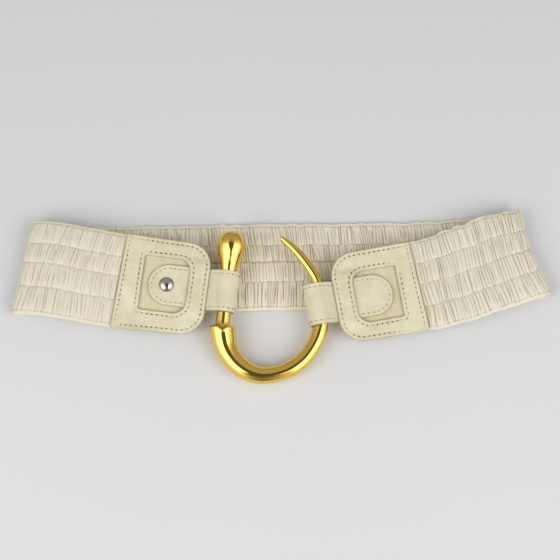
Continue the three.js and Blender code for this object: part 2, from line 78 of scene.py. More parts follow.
class Slot(Enum):
    """The record's material slots."""

    BAND = "gathered_leather"
    TAB = "tab_leather"
    STRAP = "strap_leather"
    SNAP = "snap_metal"
    HOOK = "gold_metal"


# Small sums on arrays


def ease(x: np.ndarray | float, low: float, high: float) -> np.ndarray:
    """Rises smoothly from 0 at low to 1 at high.

    Args:
        x: The values.
        low: Where the rise starts.
        high: Where the rise ends.

    Returns:
        The eased values.
    """
    t = np.clip((np.asarray(x, float) - low) / (high - low), 0.0, 1.0)
    return t * t * (3.0 - 2.0 * t)


def unit(v: np.ndarray) -> np.ndarray:
    """Scales each row to length one.

    Args:
        v: Rows of vectors.

    Returns:
        The rows at length one.
    """
    return v / np.maximum(np.linalg.norm(v, axis=-1, keepdims=True), 1e-9)


def blurred(values: np.ndarray, reach: int) -> np.ndarray:
    """Averages each row with its neighbours, with the ends held.

    Args:
        values: One column, or rows of columns.
        reach: How many rows to each side count.

    Returns:
        The averaged values.
    """
    kernel = np.hanning(2 * reach + 3)[1:-1]
    kernel /= kernel.sum()
    table = values[:, None] if values.ndim == 1 else values
    padded = np.pad(table, ((reach, reach), (0, 0)), mode="edge")
    out = np.stack([np.convolve(padded[:, c], kernel, "valid") for c in range(table.shape[1])], 1)
    return out[:, 0] if values.ndim == 1 else out


def hermite(
    start: np.ndarray, start_way: np.ndarray, end: np.ndarray, end_way: np.ndarray, t: np.ndarray
) -> np.ndarray:
    """The smooth curve from one place and direction to another.

    Args:
        start: The first point.
        start_way: The curve's speed there.
        end: The last point.
        end_way: The curve's speed there.
        t: Shares of the way, from 0 to 1.

    Returns:
        One point for each share.
    """
    t = t[:, None]
    return (
        (2 * t**3 - 3 * t**2 + 1) * start
        + (t**3 - 2 * t**2 + t) * start_way
        + (-2 * t**3 + 3 * t**2) * end
        + (t**3 - t**2) * end_way
    )


def centripetal(points: np.ndarray, t: np.ndarray) -> np.ndarray:
    """A centripetal Catmull-Rom curve through points.

    Args:
        points: The points, one a row.
        t: Places along the curve, with one unit between two points.

    Returns:
        One point for each place.
    """
    whole = np.vstack([2 * points[0] - points[1], points, 2 * points[-1] - points[-2]])
    low = np.clip(t.astype(int), 0, len(points) - 2)
    share = (t - low)[:, None]
    p0, p1, p2, p3 = (whole[low + k] for k in range(4))
    d0, d1, d2 = (
        np.sqrt(np.linalg.norm(b - a, axis=1, keepdims=True)) for a, b in ((p0, p1), (p1, p2), (p2, p3))
    )
    way1 = ((p1 - p0) / d0 - (p2 - p0) / (d0 + d1) + (p2 - p1) / d1) * d1
    way2 = ((p2 - p1) / d1 - (p3 - p1) / (d1 + d2) + (p3 - p2) / d2) * d1
    a, b = -3 * p1 + 3 * p2 - 2 * way1 - way2, 2 * p1 - 2 * p2 + way1 + way2
    return p1 + way1 * share + a * share**2 + b * share**3


# Meshes


def signed_volume(points: np.ndarray, quads: np.ndarray) -> float:
    """Six times the volume that four-sided faces enclose, below zero if they face inwards.

    Args:
        points: The points, one a row.
        quads: The faces, as four point numbers each.

    Returns:
        The signed volume.
    """
    a, b, c, d = (points[quads[:, k]] for k in range(4))
    first = np.einsum("ij,ij->i", a, np.cross(b, c)).sum()
    return float(first + np.einsum("ij,ij->i", a, np.cross(c, d)).sum())


def loft(rings: np.ndarray, joined: bool = False) -> tuple[np.ndarray, np.ndarray]:
    """Joins rings of points into one closed skin.

    Args:
        rings: Points in the shape ring, place on the ring, xyz, with an even count a ring.
        joined: Whether the last ring meets the first. Otherwise each end gets a face.

    Returns:
        The points and the four-sided faces.
    """
    count, size = rings.shape[:2]
    spans = np.arange(count if joined else count - 1)
    here = spans[:, None] * size
    after = ((spans + 1) % count)[:, None] * size
    i = np.arange(size)[None, :]
    j = (i + 1) % size
    faces = [np.stack([here + i, here + j, after + j, after + i], -1).reshape(-1, 4)]
    if not joined:
        k = np.arange(size // 2 - 1)
        cap = np.stack([k, size - 1 - k, size - 2 - k, k + 1], -1)
        faces += [cap, cap[:, ::-1] + (count - 1) * size]
    return rings.reshape(-1, 3), np.vstack(faces)


def new_piece(
    name: str,
    points: np.ndarray,
    quads: np.ndarray,
    material: bpy.types.Material,
    marks: dict[str, np.ndarray] | None = None,
) -> bpy.types.Object:
    """Makes a smooth closed object from points in millimetres.

    Args:
        name: The object's name.
        points: The points, one a row.
        quads: The faces, as four point numbers each.
        material: The finish.
        marks: Named values at the points, which the finish reads.

    Returns:
        The object, at the origin.
    """
    if signed_volume(points, quads) < 0:
        quads = quads[:, ::-1]
    mesh = bpy.data.meshes.new(name)
    mesh.vertices.add(len(points))
    mesh.vertices.foreach_set("co", (points * MM).astype(np.float32).ravel())
    mesh.loops.add(quads.size)
    mesh.loops.foreach_set("vertex_index", quads.astype(np.int32).ravel())
    mesh.polygons.add(len(quads))
    mesh.polygons.foreach_set("loop_start", np.arange(0, quads.size, 4, dtype=np.int32))
    mesh.polygons.foreach_set("use_smooth", np.ones(len(quads), bool))
    mesh.update(calc_edges=True)
    mesh.validate()
    for mark, values in (marks or {}).items():
        layer = mesh.attributes.new(mark, "FLOAT", "POINT")
        layer.data.foreach_set("value", values.astype(np.float32).ravel())
    mesh.materials.append(material)
    made = bpy.data.objects.new(name, mesh)
    bpy.context.scene.collection.objects.link(made)
    return made


def new_lines(name: str, lines: Sequence[tuple[np.ndarray, bool]]) -> bpy.types.Object:
    """Makes an object of bare edges along seam lines.

    Args:
        name: The object's name.
        lines: Each line's points in millimetres, and whether it closes on itself.

    Returns:
        The object, at the origin.
    """
    points, edges, start = [], [], 0
    for line, closed in lines:
        count = len(line)
        points.append(line)
        last = count if closed else count - 1
        edges += [(start + k, start + (k + 1) % count) for k in range(last)]
        start += count
    mesh = bpy.data.meshes.new(name)
    mesh.from_pydata((np.vstack(points) * MM).tolist(), edges, [])
    made = bpy.data.objects.new(name, mesh)
    bpy.context.scene.collection.objects.link(made)
    return made


# Shader sums and finishes


@dataclass(frozen=True)
class Wire:
    """A shader socket that adds Math nodes when it is used in a sum."""

    tree: bpy.types.NodeTree
    socket: bpy.types.NodeSocket

    def _sum(self, operation: str, *others: Wire | float) -> Wire:
        """Adds one Math node on this socket and the others.

        Args:
            operation: The node's operation.
            *others: The other sockets or numbers.

        Returns:
            The node's result.
        """
        node = self.tree.nodes.new("ShaderNodeMath")
        node.operation = operation
        for slot, value in zip(node.inputs, (self, *others)):
            if isinstance(value, Wire):
                self.tree.links.new(value.socket, slot)
            else:
                slot.default_value = value
        return Wire(self.tree, node.outputs[0])

    def __add__(self, other: Wire | float) -> Wire:
        """Adds."""
        return self._sum("ADD", other)

    __radd__ = __add__

    def __mul__(self, other: Wire | float) -> Wire:
        """Multiplies."""
        return self._sum("MULTIPLY", other)

    __rmul__ = __mul__

    def __sub__(self, other: Wire | float) -> Wire:
        """Subtracts."""
        return self._sum("SUBTRACT", other)

    def __rsub__(self, other: float) -> Wire:
        """Subtracts from a number."""
        return self._sum("MULTIPLY_ADD", -1.0, other)

    def clamped(self) -> Wire:
        """Keeps the value between 0 and 1."""
        return self._sum("MINIMUM", 1.0)._sum("MAXIMUM", 0.0)

    def power(self, exponent: float) -> Wire:
        """Raises the value to a power."""
        return self._sum("POWER", exponent)


class Shading:
    """A material's node tree, with one method that makes every node."""

    def __init__(self, name: str) -> None:
        """Starts an empty material with its output.

        Args:
            name: The material's name.
        """
        self.material = bpy.data.materials.new(name)
        self.material.use_nodes = True
        self.tree = self.material.node_tree
        self.tree.nodes.clear()

    @classmethod
    def on(cls, tree: bpy.types.NodeTree) -> Shading:
        """Works on a tree that is there already.

        Args:
            tree: The tree.

        Returns:
            The shading, without a material of its own.
        """
        made = cls.__new__(cls)
        made.tree = tree
        return made

    def node(
        self, kind: str, settings: dict[str, object] | None = None, **inputs: object
    ) -> bpy.types.Node:
        """Makes one node.

        Args:
            kind: The node's type.
            settings: Its own settings, which are set first. A ramp's stops are given as "stops".
            **inputs: Values or wires for its sockets, with _ for a space in a socket's name.

        Returns:
            The node.
        """
        made = self.tree.nodes.new(kind)
        for key, value in (settings or {}).items():
            if key == "stops":
                self._set_stops(made, value)
            else:
                setattr(made, key, value)
        for key, value in inputs.items():
            slot = made.inputs[int(key[1:])] if key[1:].isdigit() else made.inputs[key.replace("_", " ")]
            if isinstance(value, Wire):
                self.tree.links.new(value.socket, slot)
            else:
                slot.default_value = value
        return made

    @staticmethod
    def _set_stops(ramp: bpy.types.Node, stops: Sequence[tuple[float, Sequence[float]]]) -> None:
        """Gives a ramp its stops.

        Args:
            ramp: The ramp's node.
            stops: Places and colours.
        """
        elements = ramp.color_ramp.elements
        while len(elements) < len(stops):
            elements.new(0.5)
        for element, (place, colour) in zip(elements, stops):
            element.position = place
            element.color = (*colour, 1.0)

    def wire(self, node: bpy.types.Node, output: str | int = 0) -> Wire:
        """Wraps one of a node's outputs."""
        return Wire(self.tree, node.outputs[output])

    def place(self) -> Wire:
        """The place on the object, in metres."""
        return self.wire(self.node("ShaderNodeTexCoord"), "Object")

    def mark(self, name: str) -> Wire:
        """A named value of the mesh's points."""
        return self.wire(self.node("ShaderNodeAttribute", {"attribute_name": name}), "Fac")

    def noise(self, scale: float, detail: float = 3.0, where: Wire | None = None) -> Wire:
        """Smooth noise between 0 and 1, about 0.5.

        Args:
            scale: Waves in a metre.
            detail: How many finer layers it has.
            where: The place that it reads, or the object's own.

        Returns:
            The noise.
        """
        made = self.node(
            "ShaderNodeTexNoise", Vector=where or self.place(), Scale=scale, Detail=detail
        )
        return self.wire(made, 0)

    def ramp(self, value: Wire, stops: Sequence[tuple[float, float]]) -> Wire:
        """A smooth grey ramp.

        Args:
            value: What it reads.
            stops: Places and heights.

        Returns:
            The ramp's height.
        """
        made = self.node(
            "ShaderNodeValToRGB", {"stops": [(place, (tall,) * 3) for place, tall in stops]}, Fac=value
        )
        made.color_ramp.interpolation = "EASE"
        return self.wire(made, "Color")

    def mixed(self, amount: Wire, low: Sequence[float] | Wire, high: Sequence[float] | Wire) -> Wire:
        """A colour between two.

        Args:
            amount: The share of the second colour.
            low: The first colour.
            high: The second colour.

        Returns:
            The mixed colour.
        """
        made = self.node("ShaderNodeMix", {"data_type": "RGBA", "blend_type": "MIX"})
        self.tree.links.new(amount.socket, made.inputs[0])
        for slot, colour in ((made.inputs[6], low), (made.inputs[7], high)):
            if isinstance(colour, Wire):
                self.tree.links.new(colour.socket, slot)
            else:
                slot.default_value = (*colour, 1.0)
        return Wire(self.tree, made.outputs[2])

    def bump(self, height: Wire, strength: float, distance: float) -> Wire:
        """A bumped normal.

        Args:
            height: The relief.
            strength: How much of it shows.
            distance: How tall it is, in metres.

        Returns:
            The normal.
        """
        made = self.node("ShaderNodeBump", Height=height, Strength=strength, Distance=distance)
        return self.wire(made, "Normal")

    def surface(self, **inputs: object) -> bpy.types.Material:
        """Ends the tree in a Principled shader.

        Args:
            **inputs: Values or wires for its sockets, with _ for a space.

        Returns:
            The material.
        """
        shader = self.node("ShaderNodeBsdfPrincipled", None, **inputs)
        output = self.node("ShaderNodeOutputMaterial")
        self.tree.links.new(shader.outputs[0], output.inputs["Surface"])
        return self.material


@dataclass(frozen=True)
class SmoothLeather:
    """Fine-grained matte leather, as on the tabs and straps."""

    name: str
    light: tuple[float, float, float]
    deep: tuple[float, float, float]
    roughness: float = 0.58
    grain: float = 1500.0
    fine_grain: float = 900.0
    mottle: float = 171.0
    cloud: float = 38.0
    grain_height: float = 0.00022
    # The cut edge's colour: dark edge paint, and painted shade along the edge.
    edge: tuple[float, float, float] = (0.36, 0.31, 0.16)

    def material(self) -> bpy.types.Material:
        """Makes the finish.

        Returns:
            The material.
        """
        s = Shading(self.name)
        cloud = s.noise(self.cloud, 4.0)
        cells = s.node(
            "ShaderNodeTexVoronoi", {"feature": "SMOOTH_F1"}, Vector=s.place(), Scale=self.grain
        )
        pores = s.wire(cells, "Distance")
        fine = s.noise(self.fine_grain, 4.0)
        mottle = s.noise(self.mottle, 3.0)
        shade = ((cloud - 0.5) * 2.0 + (mottle - 0.5) * 1.5 + (pores - 0.4) * 0.4 + 0.4).clamped()
        height = pores * 0.6 + fine * 0.8 + cloud * 0.5
        tone = s.mixed(shade, self.light, self.deep)
        return s.surface(
            Base_Color=s.mixed(s.mark("dark_edge_and_painted_shade"), tone, self.edge),
            Roughness=(fine - 0.5) * 0.2 + self.roughness,
            Normal=s.bump(height, 0.5, self.grain_height),
            Specular_IOR_Level=0.42,
        )


@dataclass(frozen=True)
class GatheredLeather:
    """Soft thin leather, drawn into gathers, with painted shade darkening it down in its creases."""

    name: str
    light: tuple[float, float, float]
    cream: tuple[float, float, float]
    # The colour of the painted shade down in creases.
    crease: tuple[float, float, float]
    roughness: float = 0.5
    grain: float = 1300.0
    wrinkle: float = 420.0
    cloud: float = 30.0
    grain_height: float = 0.0003

    def material(self) -> bpy.types.Material:
        """Makes the finish.

        Returns:
            The material.
        """
        s = Shading(self.name)
        # The mesh's painted shade of creases, seams and tabs.
        fold = s.mark("crease")
        cloud = s.noise(self.cloud, 4.0)
        fine = s.noise(self.grain, 4.0)
        tone = s.mixed(((cloud - 0.5) * 1.8 + 0.5).clamped(), self.light, self.cream)
        return s.surface(
            Base_Color=s.mixed(fold.clamped(), tone, self.crease),
            Roughness=(fine - 0.5) * 0.2 + self.roughness,
            Normal=s.bump(fine + s.noise(self.wrinkle, 3.0) * 1.5, 0.5, self.grain_height),
            Specular_IOR_Level=0.45,
        )


@dataclass(frozen=True)
class PolishedMetal:
    """Polished metal with the faint unevenness of hand work."""

    name: str
    light: tuple[float, float, float]
    deep: tuple[float, float, float]
    roughness: float
    wave_height: float = 0.0002
    wave_scale: float = 45.0
    scuff_scale: float = 900.0
    # The colour of the painted shade on a rolled rim, where the mesh marks one.
    painted_rim_shade: tuple[float, float, float] = (0.2, 0.15, 0.1)

    def material(self) -> bpy.types.Material:
        """Makes the finish.

        Returns:
            The material.
        """
        s = Shading(self.name)
        wave = s.noise(self.wave_scale, 1.0)
        scuff = s.noise(self.scuff_scale, 3.0)
        tone = s.mixed(wave, self.light, self.deep)
        return s.surface(
            Base_Color=s.mixed(s.mark("painted_rim_shade"), tone, self.painted_rim_shade),
            Roughness=(scuff - 0.5) * 0.06 + self.roughness,
            Metallic=1.0,
            Normal=s.bump(wave, 1.0, self.wave_height),
        )


@dataclass(frozen=True)
class Thread:
    """Sewing thread, or the shade of a needle's hole, with a twist along it."""

    name: str
    light: tuple[float, float, float]
    deep: tuple[float, float, float]
    twist_scale: float = 2600.0

    def material(self) -> bpy.types.Material:
        """Makes the finish.

        Returns:
            The material.
        """
        s = Shading(self.name)
        twist = s.noise(self.twist_scale, 2.0)
        return s.surface(
            Base_Color=s.mixed(twist, self.light, self.deep),
            Roughness=(twist - 0.5) * 0.2 + 0.7,
            Specular_IOR_Level=0.1,
            Normal=s.bump(twist, 0.4, 0.0001),
        )


@dataclass
class Finishes:
    """All the belt's finishes, each made once."""

    tab: bpy.types.Material = field(init=False)
    base: bpy.types.Material = field(init=False)
    strap: bpy.types.Material = field(init=False)
    outer: bpy.types.Material = field(init=False)
    inner: bpy.types.Material = field(init=False)
    gold: bpy.types.Material = field(init=False)
    silver: bpy.types.Material = field(init=False)
    thread: bpy.types.Material = field(init=False)
    hole: bpy.types.Material = field(init=False)

    def __post_init__(self) -> None:
        """Makes every finish."""
        self.tab = SmoothLeather("tab_leather", (0.83, 0.78, 0.58), (0.69, 0.63, 0.41)).material()
        self.base = SmoothLeather("base_leather", (0.79, 0.73, 0.51), (0.67, 0.6, 0.37)).material()
        self.strap = SmoothLeather("strap_leather", (0.83, 0.78, 0.59), (0.71, 0.65, 0.44)).material()
        # The third colour of each gathered leather is its painted crease shade.
        self.outer = GatheredLeather(
            "outer_leather", (0.86, 0.81, 0.67), (0.8, 0.74, 0.58), (0.33, 0.26, 0.14)
        ).material()
        self.inner = GatheredLeather(
            "inner_leather", (0.94, 0.88, 0.72), (0.88, 0.81, 0.64), (0.2, 0.13, 0.07)
        ).material()
        self.gold = PolishedMetal("gold", (0.94, 0.66, 0.165), (0.87, 0.58, 0.115), 0.1).material()
        self.silver = PolishedMetal(
            "silver", (0.74, 0.7, 0.66), (0.42, 0.38, 0.34), 0.13, 0.0005, 330.0
        ).material()
        self.thread = Thread("cream_thread", (0.76, 0.71, 0.54), (0.64, 0.58, 0.42)).material()
        # The needle holes are dark blobs of painted shade.
        self.hole = Thread("needle_hole_shade", (0.1, 0.072, 0.028), (0.05, 0.034, 0.012)).material()


# The front plane and the hook


@dataclass
class FrontPlane:
    """The plane that the tabs and the hook lie in, which leans back on the back of the loop."""

    lean_deg: float = 6.5
    pivot: float = 7.5
    height: float = 12.472

    def place(self, points: np.ndarray) -> np.ndarray:
        """Moves points from the plane to the belt's own frame.

        Args:
            points: Rows of x, y and height in the plane.

        Returns:
            The same points in the belt's frame.
        """
        lean = math.radians(self.lean_deg)
        turn = np.array(
            [
                [1.0, 0.0, 0.0],
                [0.0, math.cos(lean), -math.sin(lean)],
                [0.0, math.sin(lean), math.cos(lean)],
            ]
        )
        return points @ turn.T + np.array([0.0, self.pivot, self.height]) + np.array(ORIGIN_SHIFT)


def dress(made: bpy.types.Object, slot: Slot, node: str) -> None:
    """Ties a piece to the belt.

    Args:
        made: The piece.
        slot: Its material slot. Not used.
        node: The solid that it stands for.
    """
    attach(made, "root")
    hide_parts(node)


@dataclass
class Hook:
    """The metal hook: a stem with a knob, and a horn that bends round to its tip."""

    plane: FrontPlane
    width: float = 91.0
    horn_height: float = 105.0
    stem_length: float = 75.9
    stem_lean_deg: float = 5.8
    stem_diameter: float = 11.6
    horn_diameter: float = 20.4
    tip_diameter: float = 2.8
    knob_diameter: float = 21.6
    collar_step: float = 1.4
    mouth_ragged: float = 0.9
    mouth_notch: float = 2.4
    foot: tuple[float, float, float] = (-45.9, -33.8, 3.3)
    arm_grip_at: float = 0.593
    stem_grip_share: float = 0.36
    # How the horn's mouth is ragged round the stem, in angles, counts and stations.
    notch_angle: float = 1.5
    notch_spread: float = 0.3
    ragged_turn: float = 2.4
    ragged_teeth: float = 7.0
    ragged_teeth_share: float = 0.3
    mouth_reach: float = 5.0
    # How many points go round and along.
    sides: int = 72
    knob_steps: int = 90
    crown_steps: int = 12
    shaft_steps: int = 40
    horn_steps: int = 230
    bend_steps: int = 12
    tip_steps: int = 9

    # Columns: across as a share of the width, along as a share of the horn's height, and thick as
    # a share of the horn's diameter.
    horn_rows: tuple[tuple[float, float, float], ...] = (
        (0.0, 0.0, 0.99),
        (0.012, -0.070, 0.92),
        (0.031, -0.137, 0.85),
        (0.071, -0.201, 0.795),
        (0.132, -0.262, 0.755),
        (0.212, -0.310, 0.705),
        (0.301, -0.337, 0.65),
        (0.393, -0.338, 0.615),
        (0.515, -0.312, 0.595),
        (0.608, -0.270, 0.6),
        (0.688, -0.210, 0.598),
        (0.746, -0.141, 0.59),
        (0.790, -0.067, 0.588),
        (0.818, 0.020, 0.58),
        (0.826, 0.096, 0.55),
        (0.822, 0.188, 0.49),
        (0.807, 0.285, 0.42),
        (0.789, 0.356, 0.39),
        (0.759, 0.406, 0.378),
        (0.705, 0.475, 0.367),
        (0.645, 0.541, 0.345),
        (0.571, 0.607, 0.295),
        (0.498, 0.660, 0.195),
    )
    # Columns: back from the top of the stem, and thick, both as shares of the knob's diameter.
    knob_rows: tuple[tuple[float, float], ...] = (
        (1.75, 0.5),
        (1.46, 0.56),
        (1.16, 0.68),
        (1.01, 0.77),
        (0.865, 0.87),
        (0.72, 0.95),
        (0.57, 1.0),
        (0.42, 0.99),
        (0.28, 0.93),
        (0.15, 0.76),
        (0.06, 0.52),
        (0.02, 0.3),
        (0.004, 0.12),
    )
    # Columns: up the stem in collar steps, then what the radius is made of: a share of the stem's
    # diameter, a share of the horn's first radius, and a bit more.
    collar_rows: tuple[tuple[float, float, float, float], ...] = (
        (2.4, 0.5, 0.0, 0.05),
        (1.75, 0.5, 0.0, 0.25),
        (1.45, 0.6, 0.0, 0.0),
        (1.3, 0.0, 0.72, 0.0),
        (1.15, 0.0, 0.84, 0.0),
        (0.9, 0.0, 0.93, 0.0),
        (0.6, 0.0, 0.975, 0.0),
        (0.3, 0.0, 0.995, 0.0),
    )
    shaft_end: float = 4.0

    def stem_way(self) -> np.ndarray:
        """The stem's direction from its foot to its knob."""
        lean = math.radians(self.stem_lean_deg)
        return np.array([math.sin(lean), math.cos(lean), 0.0])

    def horn(self, t: np.ndarray) -> tuple[np.ndarray, np.ndarray]:
        """The horn's centre and radius.

        Args:
            t: Shares of the way from the collar to the tip.

        Returns:
            The centres and the radii.
        """
        rows = np.array(self.horn_rows)
        places = t * (len(rows) - 1)
        x, y = rows[:, 0] * self.width, rows[:, 1] * self.horn_height
        ends = np.column_stack([x, y, np.zeros(len(rows))])
        thick = centripetal(np.column_stack([np.arange(len(rows)), rows[:, 2]]), places)[:, 1]
        return centripetal(ends, places), 0.5 * self.horn_diameter * thick

    def stem_grip(self) -> np.ndarray:
        """The place on the stem that the left strap's middle goes round."""
        return self.stem_way() * self.stem_grip_share * self.stem_length + np.array(self.foot)

    def arm_grip(self) -> tuple[np.ndarray, float]:
        """The place and radius of the horn at the lower edge of the right strap."""
        centre, radius = self.horn(np.array([self.arm_grip_at]))
        return centre[0] + np.array(self.foot), float(radius[0])

    def stem_stations(self) -> tuple[np.ndarray, np.ndarray]:
        """The stem from the top of its knob to its foot.

        Returns:
            The centres and the radii.
        """
        rows = np.array(self.knob_rows)
        back = np.linspace(rows[-1, 0], rows[0, 0], self.knob_steps)
        thick = 0.5 * np.interp(back, rows[::-1, 0], rows[::-1, 1]) * self.knob_diameter
        crown = self.crown_steps
        thick = np.concatenate([thick[:crown], blurred(thick, 4)[crown:]])
        knob = np.column_stack([self.stem_length - back * self.knob_diameter, thick])
        neck, neck_radius = knob[-1]
        low = self.shaft_end * self.collar_step
        up = neck - np.arange(1, self.shaft_steps + 1) * (neck - low) / self.shaft_steps
        shaft_radius = np.interp(up, [low, neck], [0.5 * self.stem_diameter, neck_radius])
        steps, of_stem, of_horn, more = np.array(self.collar_rows).T
        radius = of_stem * self.stem_diameter + of_horn * 0.5 * self.horn_diameter + more
        shaft = np.column_stack([up, shaft_radius])
        stations = np.vstack([knob, shaft, np.column_stack([steps * self.collar_step, radius])])
        return stations[:, :1] * self.stem_way(), stations[:, 1]

    def ways(self, stem_count: int, horn: np.ndarray, end_way: np.ndarray) -> np.ndarray:
        """The direction at every station, turned smoothly from the stem into the horn.

        Args:
            stem_count: How many stations the stem has.
            horn: The horn's centres.
            end_way: The tip's direction.

        Returns:
            The directions, from the knob to the tip.
        """
        down, bend = -self.stem_way(), self.bend_steps
        ways = unit(np.gradient(horn, axis=0))
        turned = ease(np.arange(bend), -1.0, bend)[:, None]
        ways[:bend] = unit((1.0 - turned) * down + turned * ways[:bend])
        return np.vstack([np.tile(down, (stem_count, 1)), ways, np.tile(end_way, (self.tip_steps, 1))])

    def mouth(self, count: int, stem_count: int, angle: np.ndarray) -> np.ndarray:
        """How far the rings shift up the stem round the horn's ragged mouth.

        Args:
            count: How many stations there are.
            stem_count: How many of them are the stem's.
            angle: The angles round a ring.

        Returns:
            One shift for each station and angle.
        """
        gone = (np.arange(count) - stem_count + 2.0) / self.mouth_reach
        notch = self.mouth_notch * np.exp(-(((angle - self.notch_angle) / self.notch_spread) ** 2))
        teeth = self.ragged_teeth_share * np.sin(self.ragged_teeth * angle)
        ragged = self.mouth_ragged * (np.sin(angle + self.ragged_turn) + teeth) - notch
        return np.exp(-(gone**2))[:, None] * ragged

    def build(self, finish: bpy.types.Material) -> bpy.types.Object:
        """Makes the hook as one closed skin.

        Args:
            finish: The metal.

        Returns:
            The hook.
        """
        stem, stem_radius = self.stem_stations()
        horn, horn_radius = self.horn(np.linspace(0.0, 1.0, self.horn_steps))
        end_way = unit(horn[-1] - horn[-3])
        round_off = np.linspace(0.06, 0.5, self.tip_steps) * math.pi
        tip = horn[-1] + np.sin(round_off)[:, None] * 0.5 * self.tip_diameter * end_way
        tip_radius = horn_radius[-1] * np.maximum(np.cos(round_off), 0.04)
        centres = np.vstack([stem, horn, tip]) + np.array(self.foot)
        radii = np.concatenate([stem_radius, horn_radius, tip_radius])
        ways = self.ways(len(stem), horn, end_way)
        side = unit(np.column_stack([-ways[:, 1], ways[:, 0], np.zeros(len(radii))]))
        angle = 2.0 * math.pi * np.arange(self.sides) / self.sides
        rings = (
            centres[:, None, :]
            + (radii[:, None] * np.cos(angle))[:, :, None] * side[:, None, :]
            + (radii[:, None] * np.sin(angle))[:, :, None] * np.array([0.0, 0.0, 1.0])
        )
        rings += self.mouth(len(radii), len(stem), angle)[:, :, None] * self.stem_way()
        points, quads = loft(rings)
        made = new_piece("gold_hook", self.plane.place(points), quads, finish)
        dress(made, Slot.HOOK, "hook")
        return made


# The leather tabs and straps


@dataclass
class Corner:
    """One rounded corner of an outline."""

    x: float
    y: float
    radius: float


def corner_ways(places: np.ndarray, k: int) -> tuple[np.ndarray, np.ndarray, float]:
    """How an outline runs at one of its corners.

    Args:
        places: The corners' places, one a row.
        k: The corner's number.

    Returns:
        The direction back, the direction on, and half of the angle between them.
    """
    back = unit(places[k - 1] - places[k])
    on = unit(places[(k + 1) % len(places)] - places[k])
    return back, on, 0.5 * math.acos(float(np.clip(back @ on, -1.0, 1.0)))


def rounded_outline(corners: Sequence[Corner], arc_steps: int, side_steps: int) -> np.ndarray:
    """An outline with rounded corners, with as many points on each corner and on each side.

    Args:
        corners: The corners in order.
        arc_steps: Points on each corner.
        side_steps: Points on each side.

    Returns:
        The closed outline, one point a row.
    """
    places = np.array([[c.x, c.y] for c in corners])
    starts, ends, arcs = [], [], []
    for k, corner in enumerate(corners):
        back, on, half = corner_ways(places, k)
        middle = places[k] + unit(back + on) * corner.radius / math.sin(half)
        reach = corner.radius / math.tan(half)
        start, end = places[k] + back * reach, places[k] + on * reach
        a, b = start - middle, end - middle
        sweep = math.atan2(a[0] * b[1] - a[1] * b[0], a @ b)
        angle = sweep * np.arange(arc_steps) / arc_steps
        cos, sin = np.cos(angle), np.sin(angle)
        arcs.append(middle + np.column_stack([a[0] * cos - a[1] * sin, a[0] * sin + a[1] * cos]))
        starts.append(start)
        ends.append(end)
    rows = []
    for k, arc in enumerate(arcs):
        share = (np.arange(side_steps) / side_steps)[:, None]
        rows += [arc, ends[k] + share * (starts[(k + 1) % len(arcs)] - ends[k])]
    return np.vstack(rows)


def inset(corners: Sequence[Corner], depth: float) -> list[Corner]:
    """Moves each side of an outline inwards by the same depth.

    Args:
        corners: The corners in order.
        depth: How far in, or out if below zero.

    Returns:
        The moved corners.
    """
    places = np.array([[c.x, c.y] for c in corners])
    moved = []
    for k, corner in enumerate(corners):
        back, on, half = corner_ways(places, k)
        x, y = places[k] + unit(back + on) * depth / math.sin(half)
        moved.append(Corner(float(x), float(y), max(corner.radius - depth, 0.4)))
    return moved


